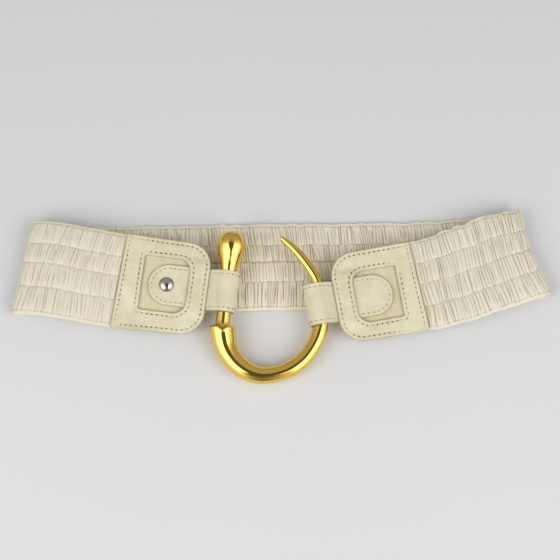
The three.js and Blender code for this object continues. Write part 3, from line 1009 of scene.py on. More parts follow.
@dataclass
class Tab:
    """One end of the belt: a frame with a window, the base under it, and its strap."""

    plane: FrontPlane
    hook: Hook
    side: str
    hand: int
    turn_deg: float
    long_share: float = 1.0
    band_end_share: float = 1.0
    buckle_end_share: float = 0.972
    window_share: float = 1.0
    window_width_share: float = 1.0
    length: float = 66.9
    width: float = 72.0
    buckle_bar: float = 15.2
    window_length: float = 35.7
    window_width: float = 41.8
    window_shift: float = 0.8
    band_skew: float = 3.0
    tab_corner: float = 18.5
    window_corner: float = 9.0
    sharp_corner: float = 1.5
    band_tuck: float = 6.0
    arch_clear: float = 1.8
    arch_slope: float = 7.0
    arch_tail: float = 3.0
    strap_width: float = 31.8
    tongue_clear: float = 5.0
    strap_return: float = 30.0
    strap_play: float = 1.1
    strap_slack: float = 5.9
    seam_margin: float = 3.0
    stitch_pitch: float = 3.9
    # How the cut edges are painted darker, partly as edge paint and partly as painted shade, and rounded,
    # and how the seams draw the leather in.
    edge_shade: float = 0.85
    edge_reach: float = 0.4
    frame_round: float = 0.55
    layer_round: float = 0.5
    round_reach: float = 0.28
    base_round_reach: float = 0.3
    seam_sink: float = 0.2
    needle_sink: float = 0.22
    rim_rise: float = 0.16
    rim_pull: float = 0.12
    # How tall the leather's unevenness is, and how far stitches sink in.
    frame_uneven: float = 0.2
    base_uneven: float = 0.08
    strap_uneven: float = 0.09
    stitch_sunk: float = 0.2
    strap_stitch_sunk: float = 0.18
    # Rows of points, in from the cut edge and to both sides of the seam.
    edge_rows: tuple[float, ...] = (0.0, 0.1, 0.3, 0.6, 1.1)
    seam_rows: tuple[float, ...] = (-0.9, -0.45, 0.0, 0.45, 0.9)
    # How many points each part of an outline or a path has.
    arc_steps: int = 22
    side_steps: int = 66
    base_side_steps: int = 34
    base_rows: int = 24
    tongue_steps: int = 34
    run_steps: int = 44
    slope_steps: int = 16
    loop_steps: int = 90
    return_steps: int = 40
    strap_rows: int = 56
    seed: int = 3

    @property
    def own_length(self) -> float:
        """This tab's length."""
        return self.length * self.long_share

    @property
    def own_window(self) -> float:
        """This tab's window length."""
        return self.window_length * self.window_share

    @property
    def tongue_end(self) -> float:
        """Where the tongue's round end starts."""
        return -(self.buckle_bar + self.own_window - self.tongue_clear)

    @property
    def loop_inner(self) -> float:
        """The inner radius of the strap's loop."""
        return max(0.5 * self.hook.stem_diameter, self.hook.arm_grip()[1]) + self.strap_play

    @property
    def loop_reach(self) -> float:
        """From the buckle edge to the middle of the loop."""
        return self.loop_inner + LEATHER + self.strap_slack

    def ways(self) -> tuple[np.ndarray, np.ndarray]:
        """The tab's own directions in the front plane.

        Returns:
            The direction to the buckle and the direction across.
        """
        turn = math.radians(self.turn_deg)
        inward = np.array([math.cos(turn), math.sin(turn), 0.0]) * self.hand
        return inward, np.array([-math.sin(turn), math.cos(turn), 0.0])

    def origin(self) -> np.ndarray:
        """The middle of the buckle edge, in the front plane.

        Returns:
            The place, at height zero.
        """
        inward, across = self.ways()
        grip = self.hook.stem_grip()
        if self.hand < 0:
            grip = self.hook.arm_grip()[0] + across * (0.5 * self.strap_width - self.window_shift)
        return grip * np.array([1.0, 1.0, 0.0]) - inward * self.loop_reach

    def place(self, points: np.ndarray) -> np.ndarray:
        """Moves points from the tab to the belt's frame.

        Args:
            points: Rows of the way to the buckle, the way across and the height.

        Returns:
            The points in the belt's frame.
        """
        inward, across = self.ways()
        flat = points[:, :1] * inward + points[:, 1:2] * across + self.origin()
        flat[:, 2] = points[:, 2]
        return self.plane.place(flat)

    def corners(self, band_x: float, skew: float) -> list[Corner]:
        """The tab's outer corners.

        Args:
            band_x: Where its band end is.
            skew: How much further out the lower corner lies there.

        Returns:
            The corners in order.
        """
        far = -band_x / self.own_length
        spread = self.buckle_end_share + (self.band_end_share - self.buckle_end_share) * far
        band = 0.5 * self.width * spread
        buckle = 0.5 * self.width * self.buckle_end_share
        return [
            Corner(band_x, band, self.sharp_corner),
            Corner(0.0, buckle, self.tab_corner),
            Corner(0.0, -buckle, self.tab_corner),
            Corner(band_x - skew, -band, self.sharp_corner),
        ]

    def window_corners(self) -> list[Corner]:
        """The window's corners.

        Returns:
            The corners in order.
        """
        low, high = -self.buckle_bar - self.own_window, -self.buckle_bar
        half = 0.5 * self.window_width * self.window_width_share
        top, bottom = self.window_shift + half, self.window_shift - half
        return [
            Corner(low, top, self.sharp_corner),
            Corner(high, top, self.window_corner),
            Corner(high, bottom, self.window_corner),
            Corner(low, bottom, self.sharp_corner),
        ]

    def rise(self, x: np.ndarray, y: np.ndarray) -> np.ndarray:
        """How far the frame arches up over the strap.

        Args:
            x: Ways to the buckle.
            y: Ways across.

        Returns:
            The rise at each place.
        """
        shoulder = 0.5 * self.strap_width + self.arch_clear
        across = 1.0 - ease(np.abs(y - self.window_shift), shoulder, shoulder + self.arch_slope)
        start = self.buckle_bar + self.arch_tail
        along = 1.0 - ease(-x, start, self.buckle_bar + self.window_corner)
        return (LEATHER + GAP) * across * along

    def wobble(self, x: np.ndarray, y: np.ndarray, size: float) -> np.ndarray:
        """The soft unevenness of cut and sewn leather.

        Args:
            x: Ways to the buckle.
            y: Ways across.
            size: Its height.

        Returns:
            The unevenness at each place.
        """
        p, q = 0.11 * x + self.seed, 0.13 * y + 2.0 * self.seed
        slow = np.sin(p + 0.8 * np.sin(q))
        return size * (slow + 0.6 * np.sin(1.9 * q - 0.7 * p) + 0.4 * np.sin(2.7 * p + q)) / 2.0

    def outline(self, corners: Sequence[Corner]) -> np.ndarray:
        """A rounded outline in the frame's steps."""
        return rounded_outline(corners, self.arc_steps, self.side_steps)

    def frame_corners(self) -> list[Corner]:
        """The frame's outer corners."""
        return self.corners(-self.own_length, self.band_skew)

    def pucker(self, seam: Sequence[Corner]) -> np.ndarray:
        """How far each needle's hole draws the leather in along a seam.

        Args:
            seam: The seam's corners.

        Returns:
            A value from 0 to 1 at each point of the seam's outline, with a last axis of one.
        """
        line = self.outline(seam)
        steps = np.linalg.norm(np.roll(line, -1, axis=0) - line, axis=1)
        far = np.concatenate([[0.0], np.cumsum(steps)[:-1]])
        count = int(steps.sum() / self.stitch_pitch)
        return (0.5 - 0.5 * np.cos(2.0 * math.pi * count * far / steps.sum()))[:, None]

    def edge_marks(self, depth: np.ndarray) -> dict[str, np.ndarray]:
        """The darker cut edge, partly edge paint and partly painted shade, on the upper face and then on
        the lower.

        Args:
            depth: How far in each point of the upper face lies.

        Returns:
            The marks of the piece's points.
        """
        cut = self.edge_shade * np.exp(-((depth / self.edge_reach) ** 2))
        return {"dark_edge_and_painted_shade": np.concatenate([cut, cut[:, ::-1]], axis=1).ravel()}

    def frame_shares(self, span: np.ndarray) -> np.ndarray:
        """Where the frame's rows of points lie between its outer edge and its window.

        Args:
            span: The way from one edge to the other, at each point of the outline.

        Returns:
            The rows as shares of the span.
        """
        edge = np.concatenate([self.edge_rows, self.seam_margin + np.array(self.seam_rows)])
        middle = np.linspace(0.0, 1.0, 8)[1:-1]
        rows = []
        for length in span:
            low, high = edge[-1], length - edge[-1]
            rows.append(np.concatenate([edge, low + middle * (high - low), length - edge[::-1]]) / length)
        return np.array(rows)

    def build_frame(self, finish: bpy.types.Material) -> bpy.types.Object:
        """Makes the frame, with round edges and its leather drawn in along the seams.

        Args:
            finish: The leather.

        Returns:
            The frame.
        """
        seam = self.seam_margin
        outer, inner = self.outline(self.frame_corners()), self.outline(self.window_corners())
        span = np.linalg.norm(inner - outer, axis=1)
        share = self.frame_shares(span)
        flat = outer[:, None, :] * (1.0 - share[..., None]) + inner[:, None, :] * share[..., None]
        x, y = flat[..., 0], flat[..., 1]
        depth = np.minimum(share, 1.0 - share) * span[:, None]
        outer_pucker = self.pucker(inset(self.frame_corners(), seam))
        inner_pucker = self.pucker(inset(self.window_corners(), -seam))
        pucker = np.where(share < 0.5, outer_pucker, inner_pucker)
        round_off = self.frame_round * np.exp(-depth / self.round_reach)
        rim = ease(depth, 0.4, 1.4) * (1 - ease(depth, 1.6, 2.6))
        draw_in = (self.seam_sink + self.needle_sink * pucker) * np.exp(-(((depth - seam) / 0.7) ** 2))
        draw_in += (self.rim_pull * pucker - self.rim_rise) * rim
        floor = LEATHER + GAP + self.rise(x, y)
        uneven = self.wobble(x, y, self.frame_uneven) * ease(depth, 0.0, 4.0)
        top = np.stack([x, y, floor + LEATHER - round_off - draw_in + uneven], -1)
        bottom = np.stack([x, y, floor + 0.5 * round_off], -1)[:, ::-1]
        points, quads = loft(np.concatenate([top, bottom], axis=1), joined=True)
        name = f"frame_leather_{self.side}"
        made = new_piece(name, self.place(points), quads, finish, self.edge_marks(depth))
        dress(made, Slot.TAB, f"tab_frame_{self.side}")
        return made

    def build_base(self, finish: bpy.types.Material) -> bpy.types.Object:
        """Makes the base under the frame, which shows in the window.

        Args:
            finish: The leather.

        Returns:
            The base.
        """
        corners = self.corners(-self.own_length + self.band_tuck + GAP, 0.0)
        outline = rounded_outline(corners, self.arc_steps, self.base_side_steps)
        centre = outline.mean(axis=0)
        shares = np.concatenate([[0.01], np.linspace(0.1, 0.98, self.base_rows), [0.992, 1.0]])
        upper = centre + shares[:, None, None] * (outline - centre)
        depth = (1.0 - shares)[:, None] * np.linalg.norm(outline - centre, axis=1)
        round_off = self.layer_round * np.exp(-depth / self.base_round_reach)
        uneven = self.wobble(upper[..., 0], upper[..., 1], self.base_uneven) * ease(depth, 0.0, 4.0)
        top = np.dstack([upper, np.minimum(LEATHER - round_off + uneven, LEATHER + 0.12)])
        points, quads = loft(np.concatenate([np.dstack([upper, round_off]), top[::-1]]))
        made = new_piece(f"base_leather_{self.side}", self.place(points), quads, finish)
        dress(made, Slot.TAB, f"tab_base_{self.side}")
        return made

    def strap_path(self) -> np.ndarray:
        """The strap's middle line from the side, from the tongue's end, round the hook and back.

        Returns:
            The way to the buckle and the height, one point a row.
        """
        start = self.tongue_end
        radius = self.loop_inner + 0.5 * LEATHER
        over, under = 1.5 * LEATHER + GAP, -GAP - 0.5 * LEATHER
        centre = np.array([self.loop_reach, 2.0 * LEATHER + GAP])
        leave = GAP
        half = 0.5 * self.strap_width

        def tangent(height: float, side: int) -> float:
            """The slope of the strap's run from the tab onto the loop."""
            way = centre - np.array([leave, height])
            return math.atan2(way[1], way[0]) + side * math.asin(radius / float(np.hypot(*way)))

        first, last = 0.5 * math.pi + tangent(over, 1), -0.5 * math.pi + tangent(under, -1)
        into = half * (1.0 - np.cos(0.5 * math.pi * np.linspace(0.045, 1.0, self.tongue_steps)))
        angle = np.linspace(first, last, self.loop_steps)
        arc = centre + radius * np.column_stack([np.cos(angle), np.sin(angle)])
        out = np.concatenate([start + into, np.linspace(start + half, leave, self.run_steps)[1:]])
        rise = np.linspace(0.0, 1.0, self.slope_steps)[1:-1, None]
        up = np.array([leave, over]) + rise * (arc[0] - [leave, over])
        down = arc[-1] + rise * ([leave, under] - arc[-1])
        back = np.linspace(leave, -self.strap_return, self.return_steps)
        tongue, tail = (np.column_stack([x, np.full_like(x, z)]) for x, z in ((out, over), (back, under)))
        path = np.vstack([tongue, up, arc, down, tail])
        soft = blurred(path, 4)
        soft[: self.tongue_steps] = path[: self.tongue_steps]
        soft[-3:] = path[-3:]
        return soft

    def strap_points(self, along: np.ndarray, across: np.ndarray, lift: np.ndarray) -> np.ndarray:
        """Places on the strap.

        Args:
            along: Places along the strap's path, in its own steps.
            across: Ways across from its middle.
            lift: Heights over its middle layer.

        Returns:
            The points in the tab's own directions.
        """
        path = self.strap_path()
        way = unit(np.gradient(path, axis=0))
        steps = np.arange(len(path))
        x, z, wx, wz = (np.interp(along, steps, c) for c in (path[:, 0], path[:, 1], way[:, 0], way[:, 1]))
        return np.stack([x - lift * wz, self.window_shift + across, z + lift * wx], -1)

    def build_strap(self, finish: bpy.types.Material) -> bpy.types.Object:
        """Makes the strap as one ribbon with a round tongue and round edges.

        Args:
            finish: The leather.

        Returns:
            The strap.
        """
        path = self.strap_path()
        half = 0.5 * self.strap_width
        length = np.concatenate([[0.0], np.cumsum(np.linalg.norm(np.diff(path, axis=0), axis=1))])
        into = length + (path[0, 0] - self.tongue_end)
        reach = np.where(into < half, np.sqrt(np.maximum(half**2 - (half - into) ** 2, 0.01)), half)
        side = np.sin(0.5 * math.pi * np.linspace(-1.0, 1.0, self.strap_rows))
        across = reach[:, None] * side
        round_end = into[:, None] < half
        out = np.where(round_end, np.hypot(half - into[:, None], across), np.abs(across))
        depth = np.maximum(half - out, 0.0)
        round_off = self.layer_round * np.exp(-depth / self.round_reach)
        draw_in = self.seam_sink * np.exp(-(((depth - self.seam_margin) / 0.5) ** 2))
        uneven = self.wobble(length[:, None], across, self.strap_uneven)
        over = 0.5 * LEATHER - round_off - draw_in + uneven * ease(depth, 0.0, 3.0)
        under = -0.5 * LEATHER + 0.6 * round_off
        along = np.broadcast_to(np.arange(len(path))[:, None], across.shape)
        top = self.strap_points(along, across, over)
        bottom = self.strap_points(along, across, under)[:, ::-1]
        points, quads = loft(np.concatenate([top, bottom], axis=1))
        name = f"strap_leather_{self.side}"
        made = new_piece(name, self.place(points), quads, finish, self.edge_marks(depth))
        dress(made, Slot.STRAP, f"loop_strap_{self.side}")
        return made

    def frame_seams(self) -> list[tuple[np.ndarray, bool]]:
        """The stitched lines of the frame, round its outer edge and round its window.

        Returns:
            Each line's points, and that it closes.
        """
        lines = []
        over = 2.0 * LEATHER + GAP - self.stitch_sunk
        seam = self.seam_margin
        for corners in (inset(self.frame_corners(), seam), inset(self.window_corners(), -seam)):
            flat = self.outline(corners)
            height = over + self.rise(flat[:, 0], flat[:, 1])
            lines.append((self.place(np.column_stack([flat, height])), True))
        return lines

    def strap_seams(self) -> list[tuple[np.ndarray, bool]]:
        """The stitched line of the strap, along both sides and round the tongue.

        Returns:
            The line's points, and that it is open.
        """
        path = self.strap_path()
        half = 0.5 * self.strap_width
        inside = half - self.seam_margin
        start = path[: 2 * self.tongue_steps, 0]
        first = int(np.argmin(np.abs(start - (path[0, 0] + half))))
        edge = np.arange(first, len(path) - 3, dtype=float)
        lift = 0.5 * LEATHER - self.strap_stitch_sunk
        one, other = (
            self.strap_points(edge, np.full_like(edge, way), np.full_like(edge, lift))
            for way in (inside, -inside)
        )
        angle = np.linspace(0.5, 1.5, 40)[1:-1] * math.pi
        tongue = np.column_stack(
            [
                path[first, 0] + inside * np.cos(angle),
                self.window_shift + inside * np.sin(angle),
                np.full_like(angle, path[0, 1] + lift),
            ]
        )
        return [(self.place(np.vstack([one[::-1], tongue, other])), False)]


@dataclass
class Snap:
    """The domed snap on the left tongue."""

    tab: Tab
    diameter: float = 11.0
    height: float = 2.4
    rim: float = 0.6
    forward: float = 1.7
    sunk: float = 0.25
    dome_steps: int = 16
    sides: int = 64

    # Columns: in from the rim's edge, and up from the foot.
    rim_rows: tuple[tuple[float, float], ...] = (
        (0.35, 0.0),
        (0.08, 0.12),
        (0.0, 0.35),
        (0.1, 0.6),
        (0.35, 0.72),
        (0.6, 0.7),
    )

    def build(self, finish: bpy.types.Material) -> bpy.types.Object:
        """Makes the cap with its rolled rim.

        Args:
            finish: The metal.

        Returns:
            The cap.
        """
        r = 0.5 * self.diameter
        profile = [(0.02, 0.0), (0.6 * r, 0.0)]
        profile += [(r - inwards, up) for inwards, up in self.rim_rows]
        angle = np.linspace(0.06, 0.5, self.dome_steps)[:-1] * math.pi
        dome = self.height - self.rim
        profile += [((r - 0.7) * math.cos(a), self.rim + dome * math.sin(a)) for a in angle]
        profile.append((0.02, self.height))
        out, up = (np.array(profile)[:, k : k + 1] for k in range(2))
        spin = 2.0 * math.pi * np.arange(self.sides) / self.sides
        tab = self.tab
        x = tab.tongue_end + 0.5 * tab.strap_width - self.forward
        y = tab.window_shift
        foot = 2.0 * (LEATHER + GAP) - self.sunk
        high = np.broadcast_to(foot + up, (len(up), self.sides))
        rings = np.stack([x + out * np.cos(spin), y + out * np.sin(spin), high], -1)
        points, quads = loft(rings)
        # The rim is painted darker towards its edge: painted shade.
        shade = np.tile(ease(out, r - 1.1, r - 0.5), self.sides).ravel()
        made = new_piece("domed_snap", tab.place(points), quads, finish, {"painted_rim_shade": shade})
        dress(made, Slot.SNAP, "snap_cap")
        return made


# The gathered band


@dataclass
class HalfRoute:
    """How one half of the band runs from its tab to its fold."""

    tab: Tab
    fold_y_share: float
    fold_lean_deg: float
    fold_slope_deg: float
    fold_run: float
    fold_share: float
    arm_swell: float
    crease_lean: tuple[float, float, float, float]
    fold_top_in: float
    fold_bow: float


@dataclass
class Route:
    """Closely spaced stations along the band, one a row."""

    centre: np.ndarray
    across: np.ndarray
    width: np.ndarray
    puff: np.ndarray
    lying: np.ndarray
    lean: np.ndarray

    @property
    def front(self) -> np.ndarray:
        """How far each station lies in the front of the loop, from 0 to 1."""
        return np.clip(self.lean, 0.0, 1.0)

    def reversed(self) -> Route:
        """The same stations in the other order."""
        return Route(*(values[::-1] for values in vars(self).values()))

    def joined(self, *others: Route) -> Route:
        """This route with others after it."""
        parts = [vars(r) for r in (self, *others)]
        return Route(*(np.concatenate([p[name] for p in parts]) for name in vars(self)))

    def even(self, step: float) -> tuple[Route, np.ndarray]:
        """The route with even steps, and the distance of each station.

        Args:
            step: The steps' length.

        Returns:
            The new route and its distances.
        """
        gaps = np.linalg.norm(np.diff(self.centre, axis=0), axis=1)
        keep = np.concatenate([[True], gaps > 1e-6])
        cut = Route(*(values[keep] for values in vars(self).values()))
        far = np.concatenate([[0.0], np.cumsum(np.linalg.norm(np.diff(cut.centre, axis=0), axis=1))])
        new = np.linspace(0.0, far[-1], int(far[-1] / step) + 1)

        def at(values: np.ndarray) -> np.ndarray:
            """The values at the new distances.

            Args:
                values: One value or row for each kept station.

            Returns:
                One value or row for each new station.
            """
            if values.ndim == 1:
                return np.interp(new, far, values)
            return np.stack([np.interp(new, far, values[:, k]) for k in range(values.shape[1])], 1)

        return Route(*(at(values) for values in vars(cut).values())), new


@dataclass
class Gathers:
    """The creases of one row of puffs on one face of the band."""

    rng: np.random.Generator
    total: float
    pitch: float
    start: float = -12.0
    gap_range: tuple[float, float] = (0.62, 1.38)
    depth_range: tuple[float, float] = (0.45, 1.0)
    width_range: tuple[float, float] = (0.3, 0.44)
    top_range: tuple[float, float] = (-0.9, 0.25)
    bottom_range: tuple[float, float] = (0.75, 1.9)
    shared_slant: float = 1.5
    own_slant: float = 0.2
    bow_spread: float = 0.3
    fade: float = 0.22
    sharpness: float = 1.2
    deepest: float = 1.25

    def __post_init__(self) -> None:
        """Draws every crease: its place, slant, depth, sharpness and reach."""
        rng = self.rng
        count = int(self.total / self.pitch * 1.2) + 10
        gaps = self.pitch * rng.uniform(*self.gap_range, count)
        self.at = np.concatenate([[self.start], self.start + np.cumsum(gaps)])
        count += 1
        shared = blurred(rng.normal(0.0, self.shared_slant, count), 2)
        self.slant = shared + rng.normal(0.0, self.own_slant, count)
        self.bow = rng.normal(0.0, self.bow_spread, count)
        self.depth = rng.uniform(*self.depth_range, count)
        self.width = rng.uniform(*self.width_range, count)
        self.top = rng.uniform(*self.top_range, count)
        self.bottom = rng.uniform(*self.bottom_range, count)

    def relief(
        self, distance: np.ndarray, u: float, lean: np.ndarray
    ) -> tuple[np.ndarray, np.ndarray, np.ndarray]:
        """The relief along one line across the row.

        Args:
            distance: Distances along the band.
            u: The line's place in the row, from its top at 0 to its bottom at 1.
            lean: How far the creases lean over the row, at each distance.

        Returns:
            How deep the creases are, how wide the ridge is there, and the place on it from 0 to 1.
        """
        shifted = self.at + self.slant * (u - 0.5) + self.bow * (4.0 * u * (1.0 - u) - 0.5)
        shifted = np.maximum.accumulate(shifted)
        here = distance - lean * (u - 0.5)
        after = np.clip(np.searchsorted(shifted, here), 1, len(shifted) - 1)
        fade = self.fade
        reach = ease(u - self.top, 0.0, fade) * (1.0 - ease(u - self.bottom, -fade, 0.0))
        strength = self.depth * reach
        deep = np.zeros_like(distance)
        for j, gone in ((after - 1, here - shifted[after - 1]), (after, shifted[after] - here)):
            deep += strength[j] * np.exp(-((np.abs(gone) / self.width[j]) ** self.sharpness))
        gap = shifted[after] - shifted[after - 1]
        place = np.clip((here - shifted[after - 1]) / np.maximum(gap, 0.1), 0.0, 1.0)
        return np.minimum(deep, self.deepest), gap / self.pitch, place


@dataclass
class Band:
    """The gathered band: two layers of soft leather, drawn up between five stitched rows."""

    left: HalfRoute
    right: HalfRoute
    folded_length: float = 415.0
    width: float = 72.0
    puff: float = 4.4
    seam: float = 2.0
    fold_radius: float = 6.7
    fold_drift: float = 2.5
    back_y: float = 25.95
    step: float = 0.318
    outer_pitch: float = 2.6
    inner_pitch: float = 2.3
    left_calm: float = 0.72
    edge_shade: float = 0.6
    crease_depth: float = 1.45
    overlap: float = 0.3
    stitch_pitch: float = 2.25
    stitch_sunk: float = 0.12
    stitch_margin: float = 7.0
    # How far to either side of the middle the left half's looks pass into the right half's.
    middle: float = 60.0
    # Where the folds' bow comes in, to either side of the middle.
    fold_zone: tuple[float, float] = (150.0, 190.0)
    # The hems' waver and ruffle, and how much of the width it takes.
    hem_loose: float = 0.55
    hem_sway_share: float = 0.04
    hem_share: float = 0.045
    hem_flutter: float = 0.24
    # The puffs' least height, their uneven fullness, and how flat the table presses them.
    least_lift: float = 0.25
    plump: float = 0.16
    pressed_flat: float = 0.85
    # How much shade is painted beside seams and tabs and on the hidden side, and how far that goes.
    seam_shade: float = 0.12
    back_seam_shade: float = 0.5
    seam_shade_share: float = 0.03
    tab_shade_reach: float = 0.8
    inside_lift: float = 0.03
    inside_shade: float = 0.4
    inside_lines: int = 5
    # How many stations each part of the route has.
    arm_steps: int = 300
    tuck_steps: int = 19
    turn_steps: int = 120
    back_steps: int = 900
    back_leans: tuple[float, float, float, float] = (1.7, 1.3, 1.4, 0.3)

    # Columns: x as a share of half the folded length, drop and wide as shares of the width, and
    # lean in degrees.
    back_rows: tuple[tuple[float, float, float, float], ...] = (
        (-0.695, -0.062, 3.0, 1.0),
        (-0.465, -0.045, 1.5, 0.985),
        (0.0, -0.01, 0.0, 0.97),
        (0.465, 0.0, -2.0, 0.98),
        (0.68, 0.035, -5.0, 0.99),
    )

    def fold(self, half: HalfRoute) -> tuple[np.ndarray, np.ndarray, np.ndarray]:
        """One fold of the band.

        Args:
            half: The half of the band that ends in it.

        Returns:
            A point on its axis, its way out and its way across.
        """
        slope, lean = math.radians(half.fold_slope_deg), math.radians(half.fold_lean_deg)
        hand = half.tab.hand
        out = np.array([-math.cos(slope), -math.sin(slope), 0.0]) * hand
        across = np.array([math.sin(lean), math.cos(lean), 0.0])
        reach = 0.5 * self.folded_length - 0.5 * self.width * abs(math.sin(lean))
        reach -= self.fold_radius + 0.5 * self.puff
        height = 0.5 * self.puff + self.fold_radius
        axis = np.array([-reach * hand, half.fold_y_share * self.width, height])
        return axis + np.array(ORIGIN_SHIFT), out, across

    def arm(self, half: HalfRoute) -> Route:
        """The stations from under the tab to the top of the fold.

        Args:
            half: The half of the band.

        Returns:
            The stations.
        """
        tab = half.tab
        axis, out, fold_across = self.fold(half)
        height = LEATHER - 0.5 * self.seam
        edge = -tab.own_length
        corners = ((edge + tab.band_tuck, 0.0), (edge, 0.0), (edge - 1.0, 0.0), (edge, 1.0))
        ends = tab.place(np.array([[x, y, height] for x, y in corners]))
        start, outward, across = ends[1], ends[2] - ends[1], ends[3] - ends[1]
        end = axis + np.array([0.0, 0.0, self.fold_radius])
        run = float(np.linalg.norm(end - start))
        t = np.linspace(0.0, 1.0, self.arm_steps)
        centre = hermite(start, outward * run, end, out * run * half.fold_run, t)
        tuck = np.linspace(0.0, 1.0, self.tuck_steps + 1)[:-1, None]
        centre = np.vstack([ends[0] + tuck * (start - ends[0]), centre])
        share = np.concatenate([np.zeros(self.tuck_steps), t])
        spread = tab.band_end_share + (half.fold_share - tab.band_end_share) * ease(share, 0.0, 1.0)
        wide = self.width * (spread + half.arm_swell * np.sin(math.pi * share))
        way = unit((1.0 - share)[:, None] * across + share[:, None] * fold_across)
        puff = ease(share * run, 0.3, 5.0)
        return Route(centre, way, wide, puff, np.zeros_like(share), np.ones_like(share))

    def turn(self, half: HalfRoute) -> Route:
        """The stations round a fold, from its top to the table.

        Args:
            half: The half of the band that ends in it.

        Returns:
            The stations.
        """
        axis, out, across = self.fold(half)
        angle = np.linspace(0.0, math.pi, self.turn_steps)[:, None]
        drift = np.array([0.0, self.fold_drift, 0.0]) * angle / math.pi
        bend = np.sin(angle) * out + np.cos(angle) * np.array([0.0, 0.0, 1.0])
        centre = axis + drift + self.fold_radius * bend
        ones = np.ones(len(angle))
        lying = ease(angle[:, 0], 0.75 * math.pi, math.pi)
        wide = ones * self.width * half.fold_share
        lean = 1.0 - 2.0 * ease(angle[:, 0], 0.0, math.pi)
        return Route(centre, np.tile(across, (len(angle), 1)), wide, ones, lying, lean)

    def back(self) -> Route:
        """The stations along the back, from the left fold to the right fold.

        Returns:
            The stations.
        """
        rows = []
        for half in (self.left, self.right):
            foot = self.fold(half)[0] + np.array([0.0, self.fold_drift, -self.fold_radius])
            rows.append([*foot, half.fold_lean_deg, half.fold_share])
        shift = np.array(ORIGIN_SHIFT)
        for k, (x, drop, lean, wide) in enumerate(self.back_rows):
            y = self.back_y + drop * self.width
            place = np.array([0.5 * x * self.folded_length, y, 0.5 * self.puff]) + shift
            rows.insert(1 + k, [*place, lean, wide])
        table = np.array(rows)
        places = np.linspace(0.0, len(table) - 1.0, self.back_steps)
        centre = centripetal(table[:, :3], places)
        low = np.minimum(places.astype(int), len(table) - 2)
        share = ease(places - low, 0.0, 1.0)
        lean, wide = (table[low, c] * (1 - share) + table[low + 1, c] * share for c in (3, 4))
        lean = np.radians(lean)
        across = np.column_stack([np.sin(lean), np.cos(lean), np.zeros_like(lean)])
        ones = np.ones(len(places))
        return Route(centre, across, wide * self.width, ones, ones, -ones)

    def route(self) -> tuple[Route, np.ndarray]:
        """The whole band's stations, from the left tab to the right tab.

        Returns:
            The stations and their distances.
        """
        left = self.arm(self.left).joined(self.turn(self.left))
        right = self.arm(self.right).joined(self.turn(self.right)).reversed()
        return left.joined(self.back(), right).even(self.step)

    def normals(self, route: Route) -> np.ndarray:
        """The directions out of the inner face, at each station."""
        way = unit(blurred(np.gradient(route.centre, axis=0), 6))
        return unit(np.cross(way, route.across))

    def rightness(self, route: Route) -> np.ndarray:
        """How far each station counts to the right half, from 0 to 1."""
        return ease(route.centre[:, 0], -self.middle, self.middle)

    def lines(self) -> tuple[list[int], list[float]]:
        """The lines along the band.

        Returns:
            Their rows, from -1 at the top hem to 4 at the bottom one, and their places in the rows.
        """
        row, place = [-1, -1, -1], [0.0, 0.2, 0.6]
        for k in range(4):
            row += [k] * len(PUFF_LINES)
            place += PUFF_LINES
        return row + [3, 4, 4, 4], place + [1.0, 0.4, 0.8, 1.0]

    def share(self, route: Route, row: int, place: float) -> np.ndarray:
        """Where a line lies across the band, as a share of its width at each station.

        Args:
            route: The stations.
            row: The line's row.
            place: Its place in the row.

        Returns:
            The shares.
        """
        front = route.front
        right = front * self.rightness(route)
        parts = ((LEFT_ROWS, front - right), (RIGHT_ROWS, right), (BACK_ROWS, 1.0 - front))
        high, low = (
            sum((0.0, *rows, 1.0)[k] * part for rows, part in parts) for k in (row + 1, row + 2)
        )
        return high + place * (low - high)

    def sway(self, route: Route, distance: np.ndarray, share: np.ndarray) -> np.ndarray:
        """How far the stitched rows and hems waver across the band.

        Args:
            route: The stations.
            distance: Distances along the band.
            share: The places across, as shares of the width.

        Returns:
            The shift towards the top edge.
        """
        calm = 0.12 + 0.2 * self.rightness(route)
        slow = calm * np.sin(distance / 5.1 + 4.0 * share + 1.7 * np.sin(distance / 23.0))
        quick = 0.12 * np.sin(distance / 1.9 + 7.0 * share) + 0.1 * np.sin(distance / 1.17 + 3.0 * share)
        right_end = ease(route.centre[:, 0], self.middle, 1.5 * self.middle)
        loose = self.hem_loose - route.front * (0.4 - 0.6 * right_end)
        hem = loose * np.sin(distance / 3.1 + 1.9 * np.sin(distance / 8.0))
        return slow + quick + hem * np.exp(-share / self.hem_sway_share)

    def across(self, route: Route, distance: np.ndarray, share: np.ndarray) -> np.ndarray:
        """The shift of a line from the band's middle, with its waver."""
        return (0.5 - share) * route.width + route.puff * self.sway(route, distance, share)

    def bowed(self, route: Route, share: np.ndarray) -> np.ndarray:
        """How far each fold bows in between its corners.

        Args:
            route: The stations.
            share: The places across, as shares of the width.

        Returns:
            The shift along X.
        """
        shift = np.zeros_like(share)
        for half in (self.left, self.right):
            side = -half.tab.hand
            near = ease(side * route.centre[:, 0], *self.fold_zone)
            bow = half.fold_top_in * (1.0 - share) + half.fold_bow * 4.0 * share * (1.0 - share)
            shift -= side * near * bow
        return shift

    def flutter(self, route: Route, distance: np.ndarray, share: np.ndarray) -> np.ndarray:
        """How far a hem ruffles up and down.

        Args:
            route: The stations.
            distance: Distances along the band.
            share: The places across, as shares of the width.

        Returns:
            The shift along the normals.
        """
        edge = np.maximum(0.0, 1.0 - np.minimum(share, 1.0 - share) / self.hem_share)
        wave = np.sin(distance / 1.35 + 2.0 * np.sin(distance / 9.0))
        wave += 0.7 * np.sin(distance / 2.3 + 5.0 * share)
        return self.hem_flutter * edge * wave * route.puff * (1.0 - route.lying)

